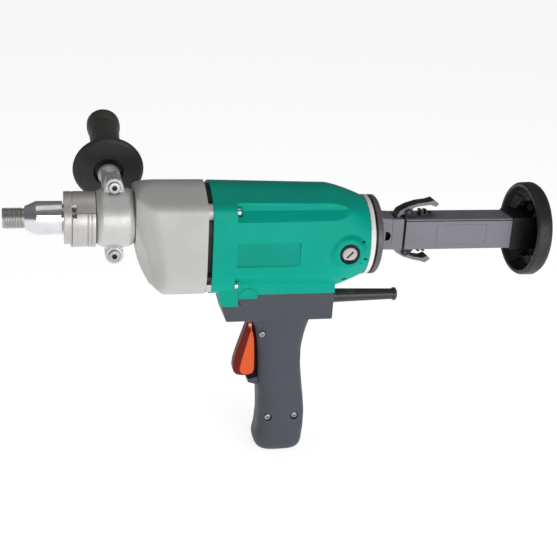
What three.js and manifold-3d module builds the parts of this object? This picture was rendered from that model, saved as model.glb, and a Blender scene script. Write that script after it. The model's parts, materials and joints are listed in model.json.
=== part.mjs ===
// Hand-held wet core drill: geared spindle, barrel motor, pistol grip, side handle and a latched chest pad.
// Millimetres, +Z up. While the parts are laid out, X = 0 is the joint between gearbox and motor, the motor
// axis is y = z = 0, the spindle points to -X and the chest pad to +X. The last lines move the origin to the
// middle of the chest pad's rear face.

import * as THREE from 'three';
import { mergeVertices } from 'three/addons/utils/BufferGeometryUtils.js';
import Module from 'manifold-3d';

const wasm = await Module();
wasm.setup();

// ---------------------------------------------------------------- driving dimensions
const GAP = 0.3;                   // air between touching pieces
const SPINDLE_RISE = 22;           // spindle axis above the motor axis
const TAIL_RISE = 4;               // tail tube axis above the motor axis

const THREAD_D = 22;               // core bit thread, outer diameter
const SPINDLE_BODY_D = 35;
const WATER_BORE_D = 8;
const TIP_X = -208;
const THREAD_END_X = -186;
const CONE_END_X = -174;
const COLLAR_X = -146.8;           // front face of the water swivel
const CLAMP_X = -114.3;            // front face of the handle clamp
const NOSE_X = -74.6;              // front face of the gear housing
const SPINDLE_REAR_X = -2.8;
const INLET_X = -130.5;            // water inlet

const COLLAR_R = 27.3;
const COLLAR_BAND_R = 30.6;
const NECK_R = 24;                 // round neck that carries collar and clamp
const CLAMP_R = 31;
const HANDLE_TILT = 16;            // degrees that the side handle leans above horizontal

const BODY_HALF_W = 47;            // half width of the motor barrel
const BODY_TOP = 61;
const BODY_BOTTOM = -57;
const BODY_SHRINK = 3.5;           // how much lower top and shallower bottom are at the motor's rear
const BODY_MID_Z = 8;              // height of the widest line of the barrel
const WALL = 3.6;
const JOINT_GAP = 2.7;             // half the open gap between gearbox and motor housing
const BARREL_END_X = 133;          // where the motor housing starts to narrow
const MOTOR_END_X = 173;
const END_R = 43.5;                // round rear end of the motor
const RING_X = [173.3, 178.6];
const PLATE_X = [179, 187.4];

const SADDLE_Z = -58;              // underside of the motor housing where the handle bolts on
const BASE_X = [12, 142];
const BASE_BOTTOM = -88;
const GRIP_BOTTOM = -254;
const GRIP_HALF_W = 24;

const NECK_END_X = 217.8;
const TUBE_X = [220.5, 369];
const TUBE_W = 36;
const TUBE_H = 34.9;
const TUBE_WALL = 3;
const LATCH_PIN_X = 224.5;
const LATCH_PIN_Z = 23.3;
const LEVER_W = 16;
const SOCKET_X = 345;              // front of the pad's square socket
const SOCKET_WALL = 2.3;
const PAD_X = [361, 381.5];
const PAD_R = 53;
const GUARD_X = [126, 222];        // cable guard

// Facets round a large, a middling and a small circle.
const FINE = 24;
const COARSE = 14;
const SMALL = 10;

const STAGE1 = { module: 1.25, pinion: 8, wheel: 24 };
const STAGE2 = { module: 1.75, pinion: 10, wheel: 30 };

// ---------------------------------------------------------------- finishes
function finish(color, roughness, metalness) {
  return new THREE.MeshStandardMaterial({ color, roughness, metalness });
}

const STEEL = [0x8c8b8f, 0.3, 1];
const BRIGHT_STEEL = [0xd6d4d6, 0.15, 1];
const DARK_STEEL = [0x3b3b40, 0.4, 0.9];
const ALUMINIUM = [0xb9b8b6, 0.45, 0.8];
const GREY_PAINT = [0xb4b4b4, 0.5, 0.2];
const GREEN_PLASTIC = [0x0ba998, 0.4, 0];
const GREY_PLASTIC = [0x545661, 0.55, 0];
const BLACK_PLASTIC = [0x1c1c1e, 0.55, 0];
const ORANGE_PLASTIC = [0xe56633, 0.45, 0];
const RUBBER = [0x2c2b2b, 0.8, 0];
const TAIL_PAINT = [0x82828a, 0.5, 0.3];
const COPPER = [0xb06a3a, 0.35, 1];
const BRASS = [0xb08d45, 0.35, 1];
const CARBON = [0x2a2a2a, 0.7, 0];

// ---------------------------------------------------------------- solids
// Keeps only positions, merges shared corners, drops slivers and turns the faces outwards.
function closed(source) {
  const bare = source.clone();
  for (const name of Object.keys(bare.attributes)) {
    if (name !== 'position') bare.deleteAttribute(name);
  }
  const merged = mergeVertices(bare, 1e-3);
  const old = merged.index.array;
  const index = [];
  for (let i = 0; i < old.length; i += 3) {
    const [a, b, c] = [old[i], old[i + 1], old[i + 2]];
    if (a !== b && b !== c && c !== a) index.push(a, b, c);
  }
  if (signedVolume(merged, index) < 0) index.reverse();
  merged.setIndex(index);
  return merged;
}

function signedVolume(geometry, index) {
  const p = geometry.attributes.position;
  const [a, b, c] = [new THREE.Vector3(), new THREE.Vector3(), new THREE.Vector3()];
  let sum = 0;
  for (let i = 0; i < index.length; i += 3) {
    a.fromBufferAttribute(p, index[i]);
    b.fromBufferAttribute(p, index[i + 1]);
    c.fromBufferAttribute(p, index[i + 2]);
    sum += a.dot(b.cross(c)) / 6;
  }
  return sum;
}

function toManifold(geometry) {
  const shape = closed(geometry);
  const vertProperties = new Float32Array(shape.attributes.position.array);
  const triVerts = new Uint32Array(shape.index.array);
  return new wasm.Manifold(new wasm.Mesh({ numProp: 3, vertProperties, triVerts }));
}

function toGeometry(manifold) {
  const mesh = manifold.getMesh();
  const geometry = new THREE.BufferGeometry();
  geometry.setAttribute('position', new THREE.BufferAttribute(new Float32Array(mesh.vertProperties), 3));
  geometry.setIndex(new THREE.BufferAttribute(new Uint32Array(mesh.triVerts), 1));
  return geometry;
}

function combine(base, others, how) {
  return toGeometry(others.reduce((solid, other) => solid[how](toManifold(other)), toManifold(base)));
}
const cut = (base, ...tools) => combine(base, tools, 'subtract');
const join = (base, ...others) => combine(base, others, 'add');
const common = (base, ...others) => combine(base, others, 'intersect');

// ---------------------------------------------------------------- basic shapes
function box([x0, x1], [y0, y1], [z0, z1]) {
  const shape = new THREE.BoxGeometry(x1 - x0, y1 - y0, z1 - z0);
  return shape.translate((x0 + x1) / 2, (y0 + y1) / 2, (z0 + z1) / 2);
}

// Turns a profile of [x, radius] points round the X axis.
function turned(profile, segments = FINE) {
  const points = profile.map(([x, r]) => new THREE.Vector2(r, x));
  return new THREE.LatheGeometry(points, segments).rotateZ(-Math.PI / 2);
}

const rod = (r, [x0, x1], segments = COARSE) => turned([[x0, 0], [x0, r], [x1, r], [x1, 0]], segments);

// A faceted hole is drawn larger, so that the middles of its facets still clear a shaft of radius r.
const roomy = (r, segments) => r / Math.cos(Math.PI / segments);
const hole = (r, span, segments = COARSE) => rod(roomy(r, segments), span, segments);

function sleeve(rIn, rOut, [x0, x1], segments = COARSE) {
  const inner = roomy(rIn, segments);
  return turned([[x0, inner], [x0, rOut], [x1, rOut], [x1, inner], [x0, inner]], segments);
}

const along = { y: g => g.rotateZ(Math.PI / 2), z: g => g.rotateY(-Math.PI / 2) };

// Pushes an outline in the XZ plane through y = +-halfWidth, with rounded long edges.
function slab(outline, halfWidth, round = 0, steps = 3) {
  const options = {
    depth: 2 * (halfWidth - round), bevelEnabled: round > 0, bevelThickness: round,
    bevelSize: round, bevelOffset: -round, bevelSegments: steps, curveSegments: 5,
  };
  const shape = new THREE.ExtrudeGeometry(outline, options);
  return shape.translate(0, 0, -(halfWidth - round)).rotateX(Math.PI / 2);
}

function outlineOf(points) {
  return new THREE.Shape(points.map(([x, z]) => new THREE.Vector2(x, z)));
}

// Joins rings of equal length, each a list of [y, z] at its own x, into one closed skin.
function loft(rings) {
  const count = rings[0].points.length;
  const vertices = [];
  const index = [];
  for (const ring of rings) {
    for (const [y, z] of ring.points) vertices.push(ring.x, y, z);
  }
  for (let i = 0; i + 1 < rings.length; i++) {
    for (let k = 0; k < count; k++) {
      const next = (k + 1) % count;
      const [a, b] = [i * count + k, i * count + next];
      index.push(a, b, b + count, a, b + count, a + count);
    }
  }
  for (const last of [false, true]) {
    const ring = last ? rings[rings.length - 1] : rings[0];
    const start = last ? (rings.length - 1) * count : 0;
    const middle = vertices.length / 3;
    const mean = i => ring.points.reduce((sum, p) => sum + p[i], 0) / count;
    vertices.push(ring.x, mean(0), mean(1));
    for (let k = 0; k < count; k++) {
      const [a, b] = [start + k, start + (k + 1) % count];
      index.push(...(last ? [a, b, middle] : [b, a, middle]));
    }
  }
  const geometry = new THREE.BufferGeometry();
  geometry.setAttribute('position', new THREE.Float32BufferAttribute(vertices, 3));
  geometry.setIndex(index);
  return geometry;
}

// A barrel section: fairly round above its widest line, squarer below it.
const ROOF_SQUARE = 2.3;

function section(x, { halfW, top, bottom, mid, square }, inset = 0, count = 26) {
  const points = [];
  for (let k = 0; k < count; k++) {
    const angle = 2 * Math.PI * (k + 0.5) / count;
    const [c, s] = [Math.cos(angle), Math.sin(angle)];
    const power = 2 / (s > 0 ? ROOF_SQUARE : square);
    const rise = (s > 0 ? top - mid : mid - bottom) - inset;
    const y = Math.sign(c) * (halfW - inset) * Math.abs(c) ** power;
    points.push([y, mid + Math.sign(s) * rise * Math.abs(s) ** power]);
  }
  return { x, points };
}

const BARREL = {
  halfW: BODY_HALF_W, top: BODY_TOP, bottom: BODY_BOTTOM, mid: BODY_MID_Z, square: 3.2,
};
const REAR_ROUND = { halfW: END_R, top: END_R, bottom: -END_R, mid: 0, square: 2 };

// A gear whose teeth have straight flanks, thin enough to leave backlash.
function gear({ module: m, teeth, bore, width, phase = 0 }) {
  const pitchR = m * teeth / 2;
  const [tipR, rootR] = [pitchR + 0.75 * m, pitchR - 1.15 * m];
  const step = 2 * Math.PI / teeth;
  const flank = [[tipR, 0.09], [pitchR, 0.205], [rootR, 0.30]];
  const corners = [...flank.map(([r, share]) => [r, -share]).reverse(), ...flank];
  const outline = new THREE.Shape();
  for (let tooth = 0; tooth < teeth; tooth++) {
    for (const [r, share] of corners) {
      const angle = phase + step * (tooth + share);
      const [y, z] = [r * Math.cos(angle), r * Math.sin(angle)];
      if (outline.curves.length === 0 && outline.currentPoint.length() === 0) outline.moveTo(y, z);
      else outline.lineTo(y, z);
    }
  }
  outline.closePath();
  const boreSteps = 6;
  outline.holes.push(new THREE.Path().absarc(0, 0, roomy(bore, 2 * boreSteps), 0, 2 * Math.PI));
  const options = { depth: width, bevelEnabled: false, curveSegments: boreSteps };
  const blank = new THREE.ExtrudeGeometry(outline, options);
  // The drawing's (x, y) become the model's (y, z), and its depth becomes x.
  return blank.applyMatrix4(new THREE.Matrix4().makeBasis(
    new THREE.Vector3(0, 1, 0), new THREE.Vector3(0, 0, 1), new THREE.Vector3(1, 0, 0)));
}

const shiftX = (geometry, x) => geometry.translate(x, 0, 0);

class Helix extends THREE.Curve {
  constructor(radius, length, turns) {
    super();
    Object.assign(this, { radius, length, turns });
  }
  getPoint(t, target = new THREE.Vector3()) {
    const angle = 2 * Math.PI * this.turns * t;
    const [x, z] = [this.radius * Math.cos(angle), this.radius * Math.sin(angle)];
    return target.set(x, this.length * (t - 0.5), z);
  }
}

// A coil of round wire about the Y axis.
function coil(radius, length, turns, wireR) {
  const wire = new THREE.Shape().absarc(0, 0, wireR, 0, 2 * Math.PI);
  const extrudePath = new Helix(radius, length, turns);
  const options = { steps: Math.round(turns * 8), extrudePath, curveSegments: 3 };
  return new THREE.ExtrudeGeometry(wire, options);
}

// ---------------------------------------------------------------- assembly helpers
const rig = new THREE.Group();
const spindleLine = new THREE.Group();
spindleLine.position.z = SPINDLE_RISE;
const tailLine = new THREE.Group();
tailLine.position.z = TAIL_RISE;
rig.add(spindleLine, tailLine);

function place(parent, name, geometry, look) {
  const piece = new THREE.Mesh(closed(geometry), finish(...look));
  piece.name = name;
  parent.add(piece);
  return piece;
}

const drop = (geometry, z) => geometry.translate(0, 0, z);

// ---------------------------------------------------------------- gearbox
// The layshaft lies where both gear pairs mesh, low on the far side.
const CENTRE1 = STAGE1.module * (STAGE1.pinion + STAGE1.wheel) / 2;
const CENTRE2 = STAGE2.module * (STAGE2.pinion + STAGE2.wheel) / 2;
const LAY_Z = (SPINDLE_RISE ** 2 + CENTRE1 ** 2 - CENTRE2 ** 2) / (2 * SPINDLE_RISE);
const LAY_Y = Math.sqrt(CENTRE1 ** 2 - LAY_Z ** 2);
const layLine = new THREE.Group();
layLine.position.set(0, LAY_Y, LAY_Z);
rig.add(layLine);

const STAGE1_X = [-22, -13];
const STAGE2_X = [-45, -30];
const LAY_X = [-63.5, -4.2];
const ARMATURE_X = [-23, 170];
const LAY_BEARING = { shaft: 4, outer: 8 };
const SPINDLE_FRONT_BEARING = { x: [-111, -97], shaft: 12, outer: 20 };
const SPINDLE_REAR_BEARING = { x: [-12, -4], shaft: 6, outer: 11 };
const MOTOR_FRONT_BEARING = { x: [-1, 7], shaft: 5, outer: 10 };
const MOTOR_REAR_BEARING = { x: [163.5, 171.5], shaft: 5, outer: 10 };
const LAY_FRONT_BEARING_X = [-62, -55];
const LAY_REAR_BEARING_X = [-10, -4];

const bearingRing = (shaftR, outerR, x) => sleeve(shaftR + 0.05, outerR, x);
const atLayshaft = geometry => geometry.translate(0, LAY_Y, LAY_Z);

function gearHousing() {
  const side = { ...BARREL, halfW: BODY_HALF_W + 0.4, top: BODY_TOP + 0.4, bottom: BODY_BOTTOM - 0.4 };
  const stations = [
    [NOSE_X, { halfW: 27, top: 52, bottom: -5, mid: 20, square: 2.2 }],
    [NOSE_X + 2.5, { halfW: 32, top: 56, bottom: -12, mid: 17, square: 2.3 }],
    [NOSE_X + 7, { halfW: 39, top: 59, bottom: -23, mid: 13, square: 2.5 }],
    [NOSE_X + 14, { halfW: 45, top: 60.5, bottom: -37, mid: 9, square: 2.8 }],
    [NOSE_X + 24, { halfW: 47, top: 61.2, bottom: -49, mid: 8, square: 3 }],
    [NOSE_X + 35, side],
    [-JOINT_GAP, side],
  ];
  const outer = loft(stations.map(([x, shape]) => section(x, shape)));
  const hollow = loft(stations.map(([x, shape], i) => {
    const last = i === stations.length - 1;
    return section(last ? x + 1 : x + WALL, shape, WALL);
  }));
  const layBoss = common(atLayshaft(rod(LAY_BEARING.outer + 3, [-72, -54])), outer);
  const laySeat = atLayshaft(hole(LAY_BEARING.outer + 0.02, [LAY_FRONT_BEARING_X[0] - 2, -50]));
  const neck = drop(rod(NECK_R, [CLAMP_X + 0.2, NOSE_X + 4], FINE), SPINDLE_RISE);
  const seatR = roomy(SPINDLE_FRONT_BEARING.outer + 0.02, FINE);
  const seatEnd = SPINDLE_FRONT_BEARING.x[1] + 1;
  const bore = drop(turned([
    [CLAMP_X - 1, 0], [CLAMP_X - 1, seatR], [seatEnd, seatR], [seatEnd, 16], [NOSE_X + 8, 16],
    [NOSE_X + 8, 0],
  ]), SPINDLE_RISE);
  return cut(join(cut(outer, hollow), neck, layBoss), bore, laySeat);
}

// The plate between gearbox and motor carries three bearings and shows four bosses in the open gap.
const POST_PLACES = [[-33, 33], [33, 33], [-35, -35], [35, -35]];

function bearingPlate() {
  const slice = (inset, [x0, x1]) => loft([x0, x1].map(x => section(x, BARREL, inset)));
  const gapX = [-JOINT_GAP + GAP, JOINT_GAP - GAP];
  const disc = slice(WALL + 0.6, gapX);
  const spigot = slice(WALL + 0.4, [-12.5, 7.5]);
  const relief = slice(WALL + 4, [2, 9]);
  const front = slice(WALL + 3.4, [-13, -5]);
  const bosses = POST_PLACES.map(([y, z]) => rod(9, gapX, 16).translate(0, y, z));
  const hubs = [
    drop(rod(14, [-12.5, 2.2]), SPINDLE_RISE),
    rod(13, [-12.5, 8]),
    atLayshaft(rod(11, [-12.5, 2.2])),
  ];
  const seats = [
    drop(hole(11.02, [-13, SPINDLE_REAR_BEARING.x[1] + GAP]), SPINDLE_RISE),
    hole(10.02, [MOTOR_FRONT_BEARING.x[0] - GAP, 9]),
    hole(7, [-13, 9]),
    atLayshaft(hole(8.02, [-13, LAY_REAR_BEARING_X[1] + GAP])),
  ];
  return cut(join(cut(join(disc, spigot, ...bosses), relief, front), ...hubs), ...seats);
}

function gearTrain() {
  const phase = Math.atan2(LAY_Z, LAY_Y);
  const halfTooth = teeth => Math.PI / teeth;
  const wheel1 = gear({
    module: STAGE1.module, teeth: STAGE1.wheel, bore: 5.05, width: 8,
    phase: phase + Math.PI + halfTooth(STAGE1.wheel),
  });
  place(layLine, 'layshaft_wheel', shiftX(wheel1, STAGE1_X[0] + 0.5), STEEL);

  const upPhase = Math.atan2(SPINDLE_RISE - LAY_Z, -LAY_Y);
  const pinion2 = gear({
    module: STAGE2.module, teeth: STAGE2.pinion, bore: 5.05, width: 17, phase: upPhase,
  });
  place(layLine, 'layshaft_pinion', shiftX(pinion2, STAGE2_X[0] - 1), STEEL);
  place(layLine, 'layshaft', turned([
    [LAY_X[0], 0], [LAY_X[0], 4], [-54.5, 4], [-54.5, 5], [-11, 5], [-11, 4], [LAY_X[1], 4], [LAY_X[1], 0],
  ], 12), STEEL);

  const wheel2 = gear({
    module: STAGE2.module, teeth: STAGE2.wheel, bore: 10.05, width: 14,
    phase: upPhase + Math.PI + halfTooth(STAGE2.wheel),
  });
  place(spindleLine, 'spindle_gear', shiftX(wheel2, STAGE2_X[0] + 0.5), STEEL);

  const pinion1 = gear({ module: STAGE1.module, teeth: STAGE1.pinion, bore: 3.02, width: 9, phase });
  place(rig, 'armature_pinion', shiftX(pinion1, STAGE1_X[0]), STEEL);
}

function spindle() {
  const body = SPINDLE_BODY_D / 2;
  const thread = THREAD_D / 2;
  const seats = {
    seals: 14, front: SPINDLE_FRONT_BEARING.shaft, gear: 10, step: 8, rear: SPINDLE_REAR_BEARING.shaft,
  };
  const frontStep = SPINDLE_FRONT_BEARING.x[1] + 0.5;
  const gearEnd = STAGE2_X[1] + 2;
  const shank = turned([
    [TIP_X, 0], [TIP_X, thread - 1], [TIP_X + 1, thread], [THREAD_END_X - 2, thread],
    [THREAD_END_X - 2, thread - 1.3], [THREAD_END_X, thread - 1.3], [THREAD_END_X, thread + 1.3],
    [CONE_END_X, body], [COLLAR_X - 1.2, body], [COLLAR_X - 1.2, seats.seals],
    [CLAMP_X - 1.5, seats.seals], [CLAMP_X - 1.5, seats.front], [frontStep, seats.front],
    [frontStep, seats.gear], [gearEnd, seats.gear], [gearEnd, seats.step], [-12.5, seats.step],
    [-12.5, seats.rear], [SPINDLE_REAR_X - 1, seats.rear], [SPINDLE_REAR_X - 1, 0],
  ], 24);
  const bore = rod(WATER_BORE_D / 2, [TIP_X - 1, INLET_X + 2.5], SMALL);
  const inletPort = shiftX(rod(2.5, [-40, 40], 8).rotateZ(Math.PI / 2), INLET_X);
  const flatX = [CONE_END_X + 1.2, COLLAR_X - 3];
  const flats = [[body - 1.5, body + 3], [-body - 3, 1.5 - body]].map(y => box(flatX, y, [-25, 25]));
  return cut(shank, bore, inletPort, ...flats);
}

function waterSwivel() {
  const rear = CLAMP_X - GAP;
  const housing = turned([
    [COLLAR_X, 18.4], [COLLAR_X, COLLAR_R], [rear, COLLAR_R], [rear, 16], [-118, 16], [-118, 18], [-123, 18],
    [-123, 15.5], [-138, 15.5], [-138, 18.4], [COLLAR_X, 18.4],
  ]);
  const band = common(
    sleeve(COLLAR_R - 4, COLLAR_BAND_R, [COLLAR_X + 8.4, rear], FINE),
    box([COLLAR_X, CLAMP_X], [-40, 40], [-40, 12]));
  const port = shiftX(hole(5, [0, 40], 12).rotateZ(Math.PI / 2), INLET_X);
  return cut(join(housing, band), port);
}

function inletNipple() {
  const nipple = turned([
    [17.5, 2.6], [17.5, 4.7], [31, 4.7], [31, 7], [35, 7], [35, 4.2], [36, 5], [40, 4.2], [41, 5], [45, 4.2],
    [45, 2.6], [17.5, 2.6],
  ], 12);
  return shiftX(along.y(nipple), INLET_X);
}

function buildGearbox() {
  place(rig, 'gear_housing', gearHousing(), GREY_PAINT);
  place(rig, 'bearing_plate', bearingPlate(), BLACK_PLASTIC);
  gearTrain();
  place(spindleLine, 'spindle', spindle(), BRIGHT_STEEL);
  for (const [name, line, { x, shaft, outer }] of [
    ['spindle_bearing_front', spindleLine, SPINDLE_FRONT_BEARING],
    ['spindle_bearing_rear', spindleLine, SPINDLE_REAR_BEARING],
    ['layshaft_bearing_front', layLine, { ...LAY_BEARING, x: LAY_FRONT_BEARING_X }],
    ['layshaft_bearing_rear', layLine, { ...LAY_BEARING, x: LAY_REAR_BEARING_X }],
    ['motor_bearing_front', rig, MOTOR_FRONT_BEARING],
    ['motor_bearing_rear', rig, MOTOR_REAR_BEARING],
  ]) {
    place(line, name, bearingRing(shaft, outer, x), STEEL);
  }
  place(spindleLine, 'water_swivel', waterSwivel(), ALUMINIUM);
  place(spindleLine, 'lip_seal_front', sleeve(14.1, 18.1, [-143.5, -138.3]), RUBBER);
  place(spindleLine, 'lip_seal_rear', sleeve(14.1, 17.7, [-122.7, -118.3]), RUBBER);
  place(spindleLine, 'water_inlet', inletNipple(), BRASS);
}

// ---------------------------------------------------------------- side handle
const CLAMP_BOLT_X = -95.5;
const BOLT_Z = [34.5, -39];

// The clamp ring with its bolt lugs and handle arm; each half is one side of it.
function clampBody() {
  const ring = turned([
    [CLAMP_X, NECK_R + GAP], [CLAMP_X, CLAMP_R - 3], [CLAMP_X + 3, CLAMP_R], [NOSE_X - 4, CLAMP_R],
    [NOSE_X - 1, CLAMP_R - 2], [NOSE_X - 1, NECK_R + GAP], [CLAMP_X, NECK_R + GAP],
  ]);
  const lugs = [
    slab(lugOutline(BOLT_Z[0], 9), 10, 1.5, 1),
    slab(lugOutline(BOLT_Z[1], 9), 9, 1.5, 1),
  ];
  const bore = hole(NECK_R + GAP, [CLAMP_X - 5, NOSE_X + 5], FINE);
  return cut(join(ring, ...lugs), bore);
}

function lugOutline(z, r) {
  const outline = new THREE.Shape();
  const start = z > 0 ? 0 : Math.PI;
  outline.moveTo(CLAMP_BOLT_X + (z > 0 ? r : -r), 0);
  outline.absarc(CLAMP_BOLT_X, z, r, start, start + Math.PI, false);
  outline.lineTo(CLAMP_BOLT_X + (z > 0 ? -r : r), 0);
  return outline;
}

// Turns a piece drawn along +Z into the side handle's direction.
function leanOut(geometry) {
  return shiftX(geometry.rotateX((HANDLE_TILT - 90) * Math.PI / 180), CLAMP_BOLT_X);
}
const aboutHandle = (profile, segments) => leanOut(along.z(turned(profile, segments)));

function clampHalves() {
  const body = clampBody();
  const holes = BOLT_Z.map(z => along.y(hole(3.3, [-30, 30], SMALL)).translate(CLAMP_BOLT_X, 0, z));
  const half = y => box([CLAMP_X - 10, NOSE_X + 10], y, [-80, 90]);
  const beam = box([-8.5, 8.5], [-8.5, 8.5], [20, 84]);
  const arm = join(leanOut(beam), aboutHandle([[80, 0], [80, 10], [84, 12], [90, 12], [90, 0]], COARSE));
  const studHole = aboutHandle([[58, 0], [58, 5.1], [95, 5.1], [95, 0]], SMALL);
  const bore = hole(NECK_R + GAP, [CLAMP_X - 5, NOSE_X + 5], FINE);
  place(spindleLine, 'clamp_near', cut(common(body, half([-60, -0.5])), ...holes), ALUMINIUM);
  const farRing = cut(common(body, half([0.5, 90])), ...holes);
  place(spindleLine, 'clamp_far', cut(join(farRing, cut(arm, bore)), studHole), ALUMINIUM);
}

function clampBolt(z) {
  const bolt = turned([
    [-16.5, 0], [-16.5, 5.2], [-10.4, 5.2], [-10.4, 3], [12, 3], [12, 0],
  ], 12);
  const socket = rod(2.4, [-18, -13], 6);
  return along.y(cut(bolt, socket)).translate(CLAMP_BOLT_X, 0, z);
}

function buildSideHandle() {
  clampHalves();
  place(spindleLine, 'clamp_bolt_upper', clampBolt(BOLT_Z[0]), DARK_STEEL);
  place(spindleLine, 'clamp_bolt_lower', clampBolt(BOLT_Z[1]), DARK_STEEL);
  const stud = aboutHandle([[60, 0], [60, 4.9], [150, 4.9], [150, 0]], SMALL);
  place(spindleLine, 'handle_stud', stud, STEEL);
  const guard = aboutHandle([
    [90.5, 5.3], [90.5, 15], [94, 22], [93, 30], [95, 37], [98.5, 39.5], [102, 38.5], [104, 30], [104, 5.3],
    [90.5, 5.3],
  ]);
  place(spindleLine, 'guard_disc', guard, RUBBER);
  const grip = aboutHandle([
    [104.4, 5.3], [104.4, 16.5], [108, 18], [150, 17.2], [186, 18], [190, 19.5], [205, 19.5], [211, 17],
    [213.5, 12], [214, 0], [152, 0], [152, 5.3], [104.4, 5.3],
  ], 20);
  place(spindleLine, 'side_grip', grip, RUBBER);
}

// ---------------------------------------------------------------- motor
function motorStations(inset) {
  const rear = { ...BARREL, top: BODY_TOP - BODY_SHRINK, bottom: BODY_BOTTOM + BODY_SHRINK };
  const blend = (from, to, t) => Object.fromEntries(
    Object.keys(from).map(key => [key, THREE.MathUtils.lerp(from[key], to[key], t)]));
  return [
    section(JOINT_GAP, BARREL, inset),
    section(BARREL_END_X, rear, inset),
    section(BARREL_END_X + 12, blend(rear, REAR_ROUND, 0.12), inset),
    section(MOTOR_END_X - 12, blend(rear, REAR_ROUND, 0.55), inset),
    section(MOTOR_END_X, REAR_ROUND, inset),
  ];
}

const BRUSH_X = 149.7;
const BRUSH_TILT = 8;              // degrees that the brush line dips towards the near side
const aboutBrush = (geometry, side) => along.y(geometry).rotateX(
  (side < 0 ? BRUSH_TILT : BRUSH_TILT + 180) * Math.PI / 180).translate(BRUSH_X, 0, 0);

function motorHousing() {
  const outer = loft(motorStations(0));
  const inner = loft(motorStations(WALL).map((ring, i, all) => ({
    x: ring.x + (i === 0 ? -2 : i === all.length - 1 ? 2 : 0), points: ring.points,
  })));
  const saddle = slab(outlineOf([
    [BASE_X[0] + 2, -30], [BASE_X[0] + 2, SADDLE_Z], [BASE_X[1] - 1, SADDLE_Z], [BASE_X[1] - 1, -30],
  ]), 30, 4, 2);
  const skirt = slab(outlineOf([[14, -50], [14, -66], [18, -71], [34.4, -71], [34.4, -50]]), 28.4, 1, 1);
  const skirtRoom = box([10, 60], [-25.4, 25.4], [-90, SADDLE_Z]);
  const bosses = [-1, 1].map(side => aboutBrush(rod(17, [-51, -30], 24), side));
  const wireHole = shiftX(along.z(rod(7, [-70, -40], 12)), 95);
  const brushHoles = [-1, 1].map(side => aboutBrush(hole(10.3, [-60, -25]), side));
  return cut(join(outer, saddle, cut(skirt, skirtRoom), ...bosses), inner, wireHole, ...brushHoles);
}

function statorBody() {
  const core = sleeve(25, 42, [50, 116], 24);
  const coils = [-1, 1].map(side => common(
    sleeve(27, 39, [40, 127]),
    box([39, 128], [-24, 24], side < 0 ? [-45, -12] : [12, 45])));
  return join(core, ...coils);
}

function buildMotor() {
  place(rig, 'motor_housing', motorHousing(), GREEN_PLASTIC);
  place(rig, 'stator', statorBody(), COPPER);
  place(rig, 'armature_shaft', turned([
    [ARMATURE_X[0], 0], [ARMATURE_X[0], 3], [-10, 3], [-10, 4], [-2, 4], [-2, 5], [172, 5], [172, 0],
  ], 12), STEEL);
  place(rig, 'armature_core', turned([
    [50, 5.3], [42, 10], [42, 18], [50, 20], [50, 24], [116, 24], [116, 20], [125, 18], [125, 10],
    [125, 5.3],
    [50, 5.3],
  ], COARSE), COPPER);
  place(rig, 'commutator', sleeve(5.05, 14.5, [136, 161]), COPPER);
  place(rig, 'fan', coolingFan(), BLACK_PLASTIC);
  for (const [side, word] of [[-1, 'near'], [1, 'far']]) {
    place(rig, `brush_holder_${word}`, aboutBrush(brushHolder(), side), BRASS);
    place(rig, `brush_${word}`, aboutBrush(box([-25, -14.9], [-4, 4], [-3, 3]), side), CARBON);
    place(rig, `brush_cap_${word}`, aboutBrush(brushCap(), side), BLACK_PLASTIC);
  }
}

function coolingFan() {
  const hub = sleeve(5.05, 12, [15, 30]);
  const disc = sleeve(8, 36, [15, 17.5]);
  const blades = [];
  const count = 7;
  for (let i = 0; i < count; i++) {
    blades.push(box([16, 28], [-1, 1], [10, 35]).rotateX(2 * Math.PI * i / count));
  }
  return join(hub, disc, ...blades);
}

function brushHolder() {
  return cut(box([-39, -22], [-6.5, 6.5], [-5.5, 5.5]), box([-45, -15], [-4.2, 4.2], [-3.2, 3.2]));
}

function brushCap() {
  const cap = turned([
    [-52.5, 0], [-52.5, 7], [-51, 10], [-41, 10], [-41, 3], [-50, 3], [-50, 0],
  ], COARSE);
  return cut(cap, box([-53, -51.2], [-7, 7], [-1.2, 1.2]));
}

// ---------------------------------------------------------------- rear end and tail
function rearCover() {
  const flange = turned([
    [RING_X[0], 10.1], [RING_X[0], END_R + 0.5], [RING_X[1], END_R + 0.5], [RING_X[1], 6], [172.2, 6],
    [172.2, 10.1], [RING_X[0], 10.1],
  ], 32);
  const seat = sleeve(10.02, 14, [163, RING_X[0] + 1]);
  return join(flange, seat);
}

function rearPlate() {
  const [front, rear] = PLATE_X;
  return turned([
    [front, 0], [front, END_R - 1.5], [front + 1.6, END_R - 1.5], [front + 1.6, END_R + 0.5],
    [rear - 1, END_R + 0.5], [rear, END_R - 0.5], [rear, 0],
  ], 32);
}

function neck() {
  const start = PLATE_X[1] + GAP;
  const foot = slab(outlineOf([
    [start, -20], [start + 4.7, -20], [start + 4.7, 22], [start, 22],
  ]), 21, 1.5, 1);
  const block = slab(outlineOf([
    [start + 2.7, -17], [NECK_END_X, -17.4], [NECK_END_X, 17.4], [start + 2.7, 19],
  ]), 17, 2, 1);
  const spigot = box([NECK_END_X - 2, 250], [-14.6, 14.6], [-14, 14]);
  const notches = [[12.8, 30], [-30, -12.8]].map(z => box([209, 216.2], [-9.5, 9.5], z));
  const pockets = [[9, 20], [-20, -9]].map(y => box([197, 203], y, [-7, 3.4]));
  return cut(join(foot, block, spigot), ...notches, ...pockets);
}

const atLatch = (geometry, level) => geometry.translate(LATCH_PIN_X, 0, level * LATCH_PIN_Z);

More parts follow.
